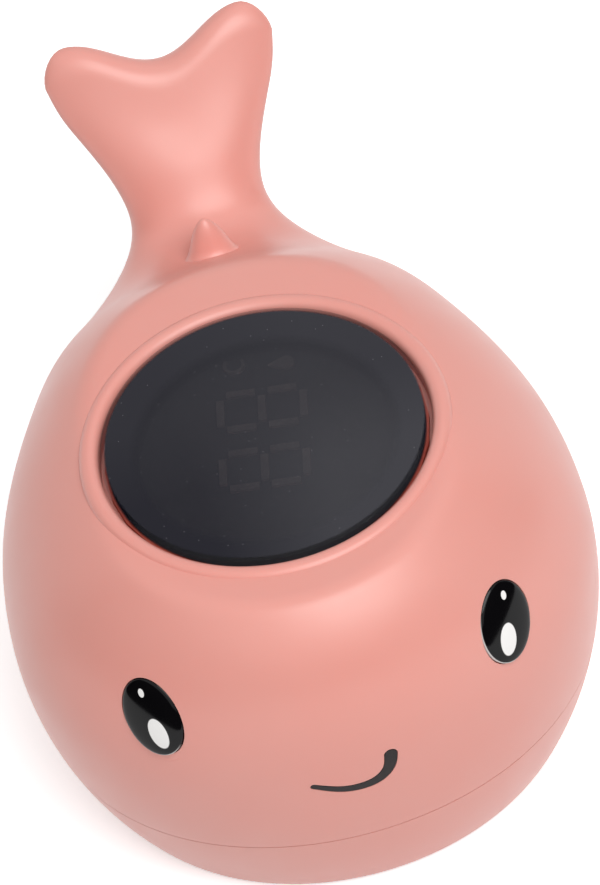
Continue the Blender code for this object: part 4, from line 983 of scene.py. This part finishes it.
# Finishes of the CAD pieces inside: two colours, patch size in millimetres, roughness range, relief size
# and height in millimetres, and metallic. The second table says which pieces have each.
INNER_FINISHES = {
    "closed_cell_foam": ("#D0604E", "#C65747", 1.5, (0.8, 0.95), (0.35, 0.05), 0.0),
    "moulded_black_polystyrene": ("#101011", "#161617", 4.0, (0.45, 0.55), (0.3, 0.006), 0.0),
    "solder_masked_laminate": ("#0E4A26", "#125A30", 2.5, (0.28, 0.4), (0.8, 0.01), 0.0),
    "moulded_epoxy": ("#161616", "#1E1E1E", 0.8, (0.5, 0.62), (0.12, 0.004), 0.0),
    "cast_silicone": ("#B9B8B4", "#AFAEAA", 3.0, (0.5, 0.62), (0.4, 0.01), 0.0),
    "shrunk_battery_film": ("#3E4146", "#484B50", 6.0, (0.28, 0.36), (2.0, 0.01), 0.4),
    "nickel_plated_spring_steel": ("#C9C6C0", "#B9B6AF", 2.0, (0.22, 0.34), (0.5, 0.004), 1.0),
    "polished_stainless_steel": ("#CFCDC9", "#C2C0BC", 3.0, (0.14, 0.22), (0.6, 0.002), 1.0),
    "dipped_epoxy_bead": ("#2A2520", "#3A332B", 0.6, (0.25, 0.35), (0.4, 0.01), 0.0),
    "zinc_plated_screw_steel": ("#BFBDB8", "#A9A7A2", 0.8, (0.26, 0.4), (0.25, 0.004), 1.0),
    "red_extruded_pvc": ("#A01818", "#8C1414", 2.0, (0.35, 0.45), (0.3, 0.004), 0.0),
    "black_extruded_pvc": ("#161617", "#1E1E1F", 2.0, (0.35, 0.45), (0.3, 0.004), 0.0),
}
INNER_PIECES = {
    "closed_cell_foam": ["lens_gasket"],
    "moulded_black_polystyrene": ["display_frame"],
    "solder_masked_laminate": ["main_board"],
    "moulded_epoxy": ["control_chip"],
    "cast_silicone": ["shell_seal", "battery_cover_seal", "probe_seal", "pin_seal_1", "pin_seal_2"],
    "shrunk_battery_film": ["battery_1", "battery_2"],
    "nickel_plated_spring_steel": ["bridge_contact", "positive_contact", "negative_contact"],
    "polished_stainless_steel": ["probe_cap", "water_pin_1", "water_pin_2"],
    "dipped_epoxy_bead": ["thermistor"],
    "zinc_plated_screw_steel": [
        *(f"shell_screw_{i}" for i in (1, 2, 3, 4)),
        "battery_cover_screw",
        *(f"board_screw_{i}" for i in (1, 2, 3)),
    ],
    "red_extruded_pvc": ["lead_positive", "lead_water_1", "lead_water_2"],
    "black_extruded_pvc": ["lead_negative", "lead_thermistor_1", "lead_thermistor_2"],
}


def inner_material(name):
    """A finish from the table, as two close colours, wandering roughness and fine relief."""
    first, second, patch, rough, relief, metallic = INNER_FINISHES[name]
    made, tree, shader, place = drifting_material(
        name, patch * MM, linear(first), linear(second), (patch * MM / 2, *rough)
    )
    tree.links.new(grain_bump(tree, place, relief[0] * MM, relief[1] * MM), shader.inputs["Normal"])
    shader.inputs["Metallic"].default_value = metallic
    return made


def paint(obj, finish):
    """Give a CAD node its finish."""
    obj.data.materials.clear()
    obj.data.materials.append(finish)


def shell_finish():
    found = bpy.data.materials.get("spark_eroded_coral_abs")
    return found or spark_eroded_coral_abs()


# Operators


class WHALE_OT_upper_shell(bpy.types.Operator):
    """Make the back, face, tail, fin and display bezel in one moulding"""

    bl_idname = "whale.upper_shell"
    bl_label = "Upper shell"

    def execute(self, context):
        sizes = context.scene.whale_body
        display = context.scene.whale_display
        shell = new_piece("upper_shell_form", loft("upper_shell_form", body_rows()))
        cut(shell, slab("below_seam", BELOW_ALL, sizes.seam_height + sizes.seam_gap / 2))
        cut(shell, loft("hollow", core_rows(sizes.wall)))
        cut(shell, core_between("rebate", REBATE_INSET, 0.0, REBATE_TOP))
        low, _ = ledge_span()
        opening = sizes.opening_radius + sizes.bead_radius
        middle = (0.0, display.centre)
        cut(shell, disc("opening", opening, low - sizes.wall, ABOVE_ALL, middle, AROUND_DISPLAY))
        add(shell, display_bezel(sizes, display))
        self.posts(shell, display, low)
        self.pillars(shell, sizes)
        for side in (-1, 1):
            self.eye_socket(shell, context.scene.whale_face, sizes, side)
        cut(shell, smile_block("smile_cut", SMILE_SPARE, SMILE_POCKET))
        add(shell, fin())
        mesh = baked(shell)
        finished("satin_upper_shell", mesh, shell_finish(), ["upper_shell"])
        return {"FINISHED"}

    @staticmethod
    def posts(shell, display, ledge):
        """Short posts under the ledge, which take the board's screws."""
        board = node_span("main_board", 2)
        for i in range(POST_COUNT):
            a = 2 * math.pi * (i + 0.25) / POST_COUNT
            centre = (POST_CIRCLE * math.cos(a), display.centre + POST_CIRCLE * math.sin(a))
            add(shell, disc("post", POST_RADIUS, board[1] + CLEAR, ledge + POST_BITE, centre))
            cut(shell, disc("post_bore", POST_BORE, board[0], ledge - CLEAR, centre))

    @staticmethod
    def pillars(shell, sizes):
        """Long pillars from the crown down to the seam, which take the shells' screws."""
        for centre, _ in shell_screws():
            mesh = disc("column", PILLAR_RADIUS, SCREW_TOP + CLEAR, sizes.deck_height, centre)
            column = new_piece("column", mesh)
            clip(column, loft("column_limit", core_rows(sizes.wall / 2)))
            add(shell, baked(column))
            cut(shell, disc("pillar_bore", SCREW_HOLE, 0.0, PILLAR_BORE_TOP, centre))

    @staticmethod
    def eye_socket(shell, face, sizes, side):
        """A thicker pad inside the wall, and the pocket that the eye is pressed into."""
        floor = -face.eye_sink - face.eye_depth - EYE_CLEAR
        half = sizes.wall / 2
        pad_size = (face.eye_short + half, face.eye_long + half)
        pad = disc("eye_pad", 1.0, floor - half, -half, around=96, stretch=pad_size)
        add(shell, placed(pad, eye_frame(side)))
        pocket_size = (face.eye_short + EYE_CLEAR, face.eye_long + EYE_CLEAR)
        pocket = disc("eye_pocket", 1.0, floor, 5.0 * MM, around=96, stretch=pocket_size)
        cut(shell, placed(pocket, eye_frame(side)))


class WHALE_OT_lower_shell(bpy.types.Operator):
    """Make the bowl below the seam, with its openings for the cover, screws and sensors"""

    bl_idname = "whale.lower_shell"
    bl_label = "Lower shell"

    def execute(self, context):
        sizes = context.scene.whale_body
        shell = new_piece("lower_shell_form", loft("lower_shell_form", body_rows()))
        cut(shell, slab("above_seam", sizes.seam_height - sizes.seam_gap / 2, ABOVE_ALL))
        add(shell, core_between("tongue", REBATE_INSET + CLEAR, sizes.wall, TONGUE_TOP))
        cut(shell, core_between("room", sizes.wall, sizes.wall, ABOVE_ALL))
        self.bay(shell, sizes)
        for centre, seat in (*shell_screws(), cover_screw()):
            cut(shell, disc("shank_hole", SCREW_HOLE, -sizes.wall, SCREW_TOP + sizes.wall, centre))
            cut(shell, disc("head_hole", SCREW_HEAD_HOLE, -sizes.wall, seat, centre))
        for node, radius in SENSOR_RADII.items():
            centre = node_place(node)
            cut(shell, disc("sensor_hole", radius + CLEAR, -sizes.wall, sizes.wall * 2, centre))
        mesh = baked(shell)
        finished("satin_lower_shell", mesh, shell_finish(), ["lower_shell"])
        return {"FINISHED"}

    @staticmethod
    def bay(shell, sizes):
        """The battery bay, its land for the cover and the bosses for the screws."""
        cover_low, cover_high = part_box("battery_cover")
        length = cover_high.x - cover_low.x
        land = node_span("battery_cover_seal", 2)[1] + CLEAR
        room = node_span("battery_1", 2)[1] + BAY_MARGIN + BAY_HEADROOM
        bay = (length - 2 * COVER_LAND, cover_width() - 2 * COVER_LAND)
        centre = (0.0, bpy.context.scene.whale_display.centre)
        outer = rounded_rectangle(bay[0] + 2 * BAY_WALL, bay[1] + 2 * BAY_WALL, BAY_WALL, centre)
        add(shell, prism("bay", outer, sizes.wall / 2, room + BAY_WALL))
        rim = (length + 2 * BAY_WALL, cover_width() + 2 * BAY_WALL)
        rim = rounded_rectangle(*rim, COVER_CORNER + BAY_WALL, centre)
        add(shell, prism("land", rim, sizes.wall / 2, land + BAY_WALL))
        tab = cover_screw()[0]
        reach = COVER_TAB_RADIUS + CLEAR + BAY_WALL
        add(shell, disc("tab_boss", reach, sizes.wall / 2, SCREW_TOP, tab))
        for place, _ in shell_screws():
            add(shell, disc("boss", PILLAR_RADIUS + BOSS_SPARE, sizes.wall / 2, SCREW_TOP, place))
        cavity = rounded_rectangle(*bay, BAY_WALL / 3, centre)
        cut(shell, prism("bay_room", cavity, -sizes.wall, room))
        cut(shell, prism("cover_room", cover_outline(length), -sizes.wall, land))
        for node in ("positive_contact", "negative_contact"):
            cut(shell, tab_slot(node, room))


def node_place(node):
    """The middle of a CAD piece seen from above, in the body's own frame."""
    low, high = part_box(node)
    return (low.x + high.x) / 2, (low.y + high.y) / 2 - shift_y()


def shell_screws():
    return [(node_place(f"shell_screw_{i}"), SCREW_SEAT) for i in (1, 2, 3, 4)]


def cover_screw():
    return node_place("battery_cover_screw"), node_span("battery_cover_seal", 2)[1] + CLEAR


def cover_width():
    """The cover's width without its tab, which the seal's own width gives."""
    low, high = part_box("battery_cover_seal")
    return high.y - low.y + 2 * CLEAR


def cover_outline(length):
    """The room for the cover: a rounded rectangle with a round tab on its tail side."""
    steps = 8
    size = (length + 2 * CLEAR, cover_width() + 2 * CLEAR)
    centre = (0.0, bpy.context.scene.whale_display.centre)
    outline = rounded_rectangle(*size, COVER_CORNER + CLEAR, centre, steps)
    reach = COVER_TAB_RADIUS + CLEAR
    tab_y = cover_screw()[0][1]
    turns = [math.pi * i / 24 for i in range(25)]
    tab = [(reach * math.cos(a), tab_y + reach * math.sin(a)) for a in turns]
    side = centre[1] + size[1] / 2
    outline[steps + 1 : steps + 1] = [(reach, side), *tab, (-reach, side)]
    return outline


def tab_slot(node, roof):
    """A slot in the bay's roof for a contact's tab."""
    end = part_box(node)[1].x
    _, y = node_place(node)
    half = CONTACT_TAB_WIDTH / 2 + CLEAR
    outline = rectangle((end - CONTACT_TAB_THICK, y - half), (end + CLEAR, y + half))
    return prism("tab_slot", outline, roof - CONTACT_TAB_DEEP, roof + 2 * BAY_WALL)


def segment_tree(finish):
    """Geometry Nodes for seven-segment digits that lie on their side, stacked towards the tail."""
    tree = bpy.data.node_groups.new("seven_segment_digits", "GeometryNodeTree")
    for name in (
        "Digit height",
        "Digit width",
        "Digit pitch",
        "Segment width",
        "Segment gap",
        "Segment thickness",
    ):
        tree.interface.new_socket(name=name, in_out="INPUT", socket_type="NodeSocketFloat")
    tree.interface.new_socket(name="Geometry", in_out="OUTPUT", socket_type="NodeSocketGeometry")
    size = add_node(tree, "NodeGroupInput").outputs

    def xyz(x=0.0, y=0.0, z=0.0):
        return add_node(tree, "ShaderNodeCombineXYZ", {"X": x, "Y": y, "Z": z}).outputs[0]

    def bars(points, bar_size):
        cube = add_node(tree, "GeometryNodeMeshCube", {"Size": bar_size})
        inputs = {"Points": points, "Instance": cube.outputs["Mesh"]}
        return add_node(tree, "GeometryNodeInstanceOnPoints", inputs).outputs["Instances"]

    width, thick = size["Segment width"], size["Segment thickness"]
    half_span = maths(tree, "DIVIDE", maths(tree, "SUBTRACT", size["Digit height"], width), 2.0)
    side_span = maths(tree, "SUBTRACT", size["Digit width"], width)
    clearance = maths(tree, "ADD", width, maths(tree, "MULTIPLY", size["Segment gap"], 2.0))
    start = xyz(maths(tree, "MULTIPLY", half_span, -1.0))
    across = add_node(
        tree,
        "GeometryNodeMeshLine",
        {"Count": 3, "Start Location": start, "Offset": xyz(half_span)},
    )
    along = add_node(
        tree,
        "GeometryNodeMeshGrid",
        {"Size X": half_span, "Size Y": side_span, "Vertices X": 2, "Vertices Y": 2},
    )
    across_length = maths(tree, "SUBTRACT", side_span, clearance)
    across_bars = bars(across.outputs["Mesh"], xyz(width, across_length, thick))
    along_length = maths(tree, "SUBTRACT", half_span, clearance)
    along_bars = bars(along.outputs["Mesh"], xyz(along_length, width, thick))
    digit = add_node(tree, "GeometryNodeJoinGeometry")
    tree.links.new(across_bars, digit.inputs[0])
    tree.links.new(along_bars, digit.inputs[0])
    pitch = size["Digit pitch"]
    start = xyz(0.0, maths(tree, "MULTIPLY", maths(tree, "DIVIDE", pitch, 2.0), -1.0))
    inputs = {"Count": 2, "Start Location": start, "Offset": xyz(0.0, pitch)}
    places = add_node(tree, "GeometryNodeMeshLine", inputs)
    digits = add_node(
        tree,
        "GeometryNodeInstanceOnPoints",
        {"Points": places.outputs["Mesh"], "Instance": digit.outputs[0]},
    )
    solid = add_node(tree, "GeometryNodeRealizeInstances", {"Geometry": digits.outputs[0]})
    inputs = {"Geometry": solid.outputs[0], "Material": finish}
    inked = add_node(tree, "GeometryNodeSetMaterial", inputs)
    add_node(tree, "NodeGroupOutput", {"Geometry": inked.outputs[0]})
    return tree


def grown(name, tree, values):
    """The plain mesh that a Geometry Nodes tree makes from the given inputs."""
    holder = new_piece(name, bpy.data.meshes.new(name))
    step = holder.modifiers.new("Grow", "NODES")
    step.node_group = tree
    for item in tree.interface.items_tree:
        if item.item_type == "SOCKET" and item.in_out == "INPUT" and item.name in values:
            step[item.identifier] = values[item.name]
    return baked(holder)


def c_letter(centre, low, high):
    """An open ring, its mouth towards the tail."""
    outer, inner = [arc(centre, radius, 140, 260) for radius in LETTER_RADII]
    return prism("letter", outer + inner[::-1], low, high)


def drop_icon(centre, low, high):
    """A drop that lies on its side, pointed towards -x."""
    outline = [*arc(centre, DROP_RADIUS, -115, 230), (centre[0] - DROP_POINT, centre[1])]
    return prism("drop", outline, low, high)


class WHALE_OT_display(bpy.types.Operator):
    """Make the lens, the masked light guide, the printed film and the unlit segments"""

    bl_idname = "whale.display"
    bl_label = "Display"

    def execute(self, context):
        display = context.scene.whale_display
        self.lens(display)
        self.light_guide(display)
        self.film(display)
        self.segments(display)
        return {"FINISHED"}

    def lens(self, display):
        low, top = node_span("display_lens", 2)
        radius = display.lens_radius
        soft = 0.2 * MM
        outline = [(0.0, low), (radius - soft, low), (radius, low + soft)]
        for i in range(9):
            a = math.pi / 2 * i / 8
            outline.append((radius - soft * (1 - math.cos(a)), top - soft * (1 - math.sin(a))))
        outline.append((0.0, top))
        mesh = turned("lens", outline, (0.0, display.centre), AROUND_DISPLAY)
        finished("smoked_lens", mesh, polished_smoked_acrylic(), ["display_lens"], 60.0)

    def light_guide(self, display):
        low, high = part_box("segment_diffuser")
        top = high.z - SEGMENT_THICK - GUIDE_GAP
        half = (high.y - low.y) / 2
        outline = rectangle((-high.x, display.centre - half), (high.x, display.centre + half))
        mesh = prism("light_guide", outline, low.z, top)
        finished("masked_light_guide", mesh, masked_light_guide(), ["segment_diffuser"])

    def segments(self, display):
        resin = unlit_segment_resin()
        high = node_span("segment_diffuser", 2)[1]
        low = high - SEGMENT_THICK
        values = {
            "Digit height": display.digit_height,
            "Digit width": display.digit_width,
            "Digit pitch": display.digit_pitch,
            "Segment width": display.digit_bar,
            "Segment gap": SEGMENT_GAP,
            "Segment thickness": SEGMENT_THICK,
        }
        place = Matrix.Translation((DIGITS_PLACE[0], display.centre + DIGITS_PLACE[1], 0.0))
        place = place @ Matrix.Rotation(-display.digit_turn, 4, "Z")
        digits = grown("digits", segment_tree(resin), values)
        digits.transform(Matrix.Translation((0.0, 0.0, (low + high) / 2)))
        letter = c_letter(LETTER_PLACE, low, high)
        drop = drop_icon(DROP_PLACE, low, high)
        for name, mesh in (("unlit_digits", digits), ("letter_c", letter), ("water_drop", drop)):
            mesh.transform(place)
            finished(name, mesh, resin)

    def film(self, display):
        """The printed film that lies on the guide and its holder, below the segments."""
        base = node_span("segment_diffuser", 2)[1] - SEGMENT_THICK
        low, high = [base + rise for rise in FILM_SPAN]
        mesh = disc("film", FILM_RADIUS, low, high, (0.0, display.centre), AROUND_DISPLAY)
        finished("mask_film", mesh, masked_light_guide())


class WHALE_OT_eyes(bpy.types.Operator):
    """Make the two domed eyes, each with two white ovals"""

    bl_idname = "whale.eyes"
    bl_label = "Eyes"

    def execute(self, context):
        resin = doming_resin()
        for side, node in ((1, "eye_left"), (-1, "eye_right")):
            mesh = self.eye_mesh(context.scene.whale_face, side)
            finished("domed_" + node, mesh, resin, [node])
        return {"FINISHED"}

    def eye_mesh(self, face, side):
        """A dome on a short oval plug, with a map of its own width and height."""
        sink = face.eye_sink
        outline = [(0.0, -sink - face.eye_depth), (1.0, -sink - face.eye_depth)]
        steps = 24
        for i in range(steps + 1):
            a = math.pi / 2 * i / steps
            radius = math.cos(a) if i < steps else 0.0
            outline.append((radius, -sink + face.eye_dome * math.sin(a)))
        mesh = turned("eye", outline, around=96, stretch=(face.eye_short, face.eye_long))
        layer = mesh.uv_layers.new(name="face")
        for loop in mesh.loops:
            x, y, _ = mesh.vertices[loop.vertex_index].co
            layer.data[loop.index].uv = (x / face.eye_short, y / face.eye_long)
        return placed(mesh, eye_frame(side))


class WHALE_OT_mouth(bpy.types.Operator):
    """Make the lopsided smile, let into the nose"""

    bl_idname = "whale.mouth"
    bl_label = "Mouth"

    def execute(self, context):
        inlay = new_piece("mouth_form", smile_block("mouth_form", 0.0, SMILE_INLAY))
        clip(inlay, loft("skin", body_rows()))
        finished("inked_mouth", baked(inlay), pad_printed_ink(), ["mouth_inlay"])
        return {"FINISHED"}


class WHALE_OT_inside(bpy.types.Operator):
    """Give every CAD piece that is kept its own finish"""

    bl_idname = "whale.inside"
    bl_label = "Inside pieces"

    def execute(self, context):
        for name, nodes in INNER_PIECES.items():
            finish = inner_material(name)
            for node in nodes:
                paint(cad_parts[node], finish)
        paint(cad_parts["battery_cover"], shell_finish())
        return {"FINISHED"}


def looked_at(tree):
    """One for a ray that shows the background: straight to the camera, in a reflection or through glass."""
    rays = add_node(tree, "ShaderNodeLightPath").outputs
    seen = maths(tree, "MAXIMUM", rays["Is Camera Ray"], rays["Is Glossy Ray"])
    return maths(tree, "MAXIMUM", seen, rays["Is Transmission Ray"])


class WHALE_OT_stage(bpy.types.Operator):
    """Set the camera, the floor and the lights"""

    bl_idname = "whale.stage"
    bl_label = "Stage"

    def execute(self, context):
        stage = context.scene.whale_stage
        self.camera(stage)
        self.floor(stage)
        self.world(stage)
        self.key(stage)
        self.tail_light(stage)
        self.cards()
        self.graded_card()
        context.scene.view_settings.view_transform = "Standard"
        return {"FINISHED"}

    def camera(self, stage):
        """Stand the camera at the photograph's angle and aim it at the picture's middle."""
        subject = Vector((0.0, shift_y(), SUBJECT_HEIGHT))
        turn, rise, roll = stage.yaw, stage.elevation, stage.roll
        ahead = Vector((-math.sin(turn) * math.cos(rise), math.cos(turn) * math.cos(rise), -math.sin(rise)))
        level = Vector((math.cos(turn), math.sin(turn), 0.0))
        above = level.cross(ahead)
        right = math.cos(roll) * level - math.sin(roll) * above
        up = math.sin(roll) * level + math.cos(roll) * above
        eye = subject - ahead * stage.distance
        aim = subject - AIM_LEFT * right + AIM_RISE * up
        ahead = (aim - eye).normalized()
        right = ahead.cross(up).normalized()
        up = right.cross(ahead)
        lens = bpy.data.cameras.new("camera")
        lens.lens = stage.focal
        lens.sensor_width = 36.0
        lens.clip_start = 0.1
        lens.clip_end = 20.0
        made = new_piece("camera", lens)
        made.matrix_world = Matrix.Translation(eye) @ Matrix((right, up, -ahead)).transposed().to_4x4()
        bpy.context.scene.camera = made

    def floor(self, stage):
        """Paper that is pure white to the eye, still takes the shadow, and lights the body less."""
        outline = rectangle((-PAPER_HALF, -PAPER_HALF), (PAPER_HALF, PAPER_HALF))
        mesh = prism("paper", outline, *PAPER_SPAN)
        made, tree = bare_material("studio_paper")
        fibre = two_tone(tree, object_place(tree), 0.05, stage.paper, darker(stage.paper, 0.985))
        matt = add_node(tree, "ShaderNodeBsdfDiffuse", {"Color": fibre})
        dim = (*darker(stage.paper, PAPER_GIVES_BACK), 1.0)
        dim = add_node(tree, "ShaderNodeBsdfDiffuse", {"Color": dim})
        glow = {"Color": (*stage.paper, 1.0), "Strength": PAPER_GLOW}
        glow = add_node(tree, "ShaderNodeEmission", glow)
        both = add_node(tree, "ShaderNodeAddShader", {0: matt.outputs[0], 1: glow.outputs[0]})
        mix = {0: looked_at(tree), 1: dim.outputs[0], 2: both.outputs[0]}
        mix = add_node(tree, "ShaderNodeMixShader", mix)
        add_node(tree, "ShaderNodeOutputMaterial", {"Surface": mix.outputs[0]})
        mesh.materials.append(made)
        new_piece("paper", mesh)

    def world(self, stage):
        """White to the eye and in reflections, a softer light on everything else."""
        made = bpy.data.worlds.new("surround")
        made.use_nodes = True
        tree = made.node_tree
        tree.nodes.clear()
        strength = carried(tree, looked_at(tree), 0.0, 1.0, stage.daylight, 1.0)
        glow = {"Color": (*stage.paper, 1.0), "Strength": strength}
        glow = add_node(tree, "ShaderNodeBackground", glow)
        add_node(tree, "ShaderNodeOutputWorld", {"Surface": glow.outputs[0]})
        bpy.context.scene.world = made

    def key(self, stage):
        """A wide soft lamp, high above the camera."""
        lamp = bpy.data.lights.new("key", "AREA")
        lamp.shape = "DISK"
        lamp.size = KEY_SIZE
        lamp.energy = stage.key_power
        self.point(new_piece("key", lamp), Vector(stage.key_place), Vector())

    @staticmethod
    def point(lamp, place, aim):
        """Stand a lamp at a place and turn it to its aim."""
        turn = (place - aim).to_track_quat("Z", "Y").to_matrix().to_4x4()
        lamp.matrix_world = Matrix.Translation(place) @ turn

    def tail_light(self, stage):
        """A narrow soft spot from the front that lifts the flukes, as the photograph shows them."""
        lamp = bpy.data.lights.new("tail_light", "SPOT")
        lamp.energy = stage.tail_power
        lamp.spot_size = math.radians(TAIL_LIGHT_ANGLE)
        lamp.spot_blend = 1.0
        lamp.shadow_soft_size = TAIL_LIGHT_SIZE
        aim = Vector((0.0, TAIL_LIGHT_AIM[0] + shift_y(), TAIL_LIGHT_AIM[1]))
        self.point(new_piece("tail_light", lamp), Vector(TAIL_LIGHT_PLACE), aim)

    def graded_card(self):
        """A card behind the object, darker on the left, that only the lens and other glossy faces show."""
        made, tree = bare_material("graded_card")
        parts = add_node(tree, "ShaderNodeSeparateXYZ", {"Vector": object_place(tree)}).outputs
        ends = [carried(tree, parts["Z"], *GRADED_CARD_RISE, *levels) for levels in GRADED_CARD_LEVELS]
        level = carried(tree, parts["X"], *GRADED_CARD_SIDES, *ends)
        glow = add_node(tree, "ShaderNodeEmission", {"Color": GRADED_CARD_SHADE, "Strength": level})
        add_node(tree, "ShaderNodeOutputMaterial", {"Surface": glow.outputs[0]})
        half, low, high = GRADED_CARD_SIZE
        near = GRADED_CARD_BEHIND + shift_y()
        self.put_card("card_back", (-half, near, low), (half, near + GRADED_CARD_THICK, high), made)

    def cards(self):
        """Black cards on both sides and behind the camera, which only mirror-like faces show."""
        made, tree, shader = new_material("black_flocked_card")
        tint = two_tone(tree, object_place(tree), 0.2, linear("#050505"), linear("#0A0A0A"))
        tree.links.new(tint, shader.inputs["Base Color"])
        shader.inputs["Roughness"].default_value = 1.0
        shader.inputs["Specular IOR Level"].default_value = 0.0
        for name, low, high in BLACK_CARDS:
            self.put_card(name, low, high, made)

    @staticmethod
    def put_card(name, low, high, finish):
        """A card between two corners, hidden from everything but mirror-like faces."""
        mesh = prism(name, rectangle(low, high), low[2], high[2])
        mesh.materials.append(finish)
        card = new_piece(name, mesh)
        card.visible_camera = False
        card.visible_diffuse = False
        card.visible_shadow = False
        card.visible_transmission = False


class WHALE_PT_panel(bpy.types.Panel):
    """Lists the steps that build the thermometer"""

    bl_idname = "WHALE_PT_panel"
    bl_label = "Bath whale"
    bl_space_type = "VIEW_3D"
    bl_region_type = "UI"
    bl_category = "Bath Whale"

    def draw(self, context):
        for step in STEPS:
            self.layout.operator(step.bl_idname)


STEPS = (
    WHALE_OT_upper_shell,
    WHALE_OT_lower_shell,
    WHALE_OT_display,
    WHALE_OT_eyes,
    WHALE_OT_mouth,
    WHALE_OT_inside,
    WHALE_OT_stage,
)
SETTINGS = {
    "whale_body": WhaleBodySizes,
    "whale_display": WhaleDisplaySizes,
    "whale_face": WhaleFaceSizes,
    "whale_stage": WhaleStageSizes,
}


def register():
    for name, group in SETTINGS.items():
        bpy.utils.register_class(group)
        setattr(bpy.types.Scene, name, bpy.props.PointerProperty(type=group))
    for step in (*STEPS, WHALE_PT_panel):
        bpy.utils.register_class(step)


def unregister():
    for step in reversed((*STEPS, WHALE_PT_panel)):
        bpy.utils.unregister_class(step)
    for name, group in SETTINGS.items():
        delattr(bpy.types.Scene, name)
        bpy.utils.unregister_class(group)


def main():
    register()
    for step in STEPS:
        family, name = step.bl_idname.split(".")
        getattr(getattr(bpy.ops, family), name)()


if __name__ == "__main__":
    main()
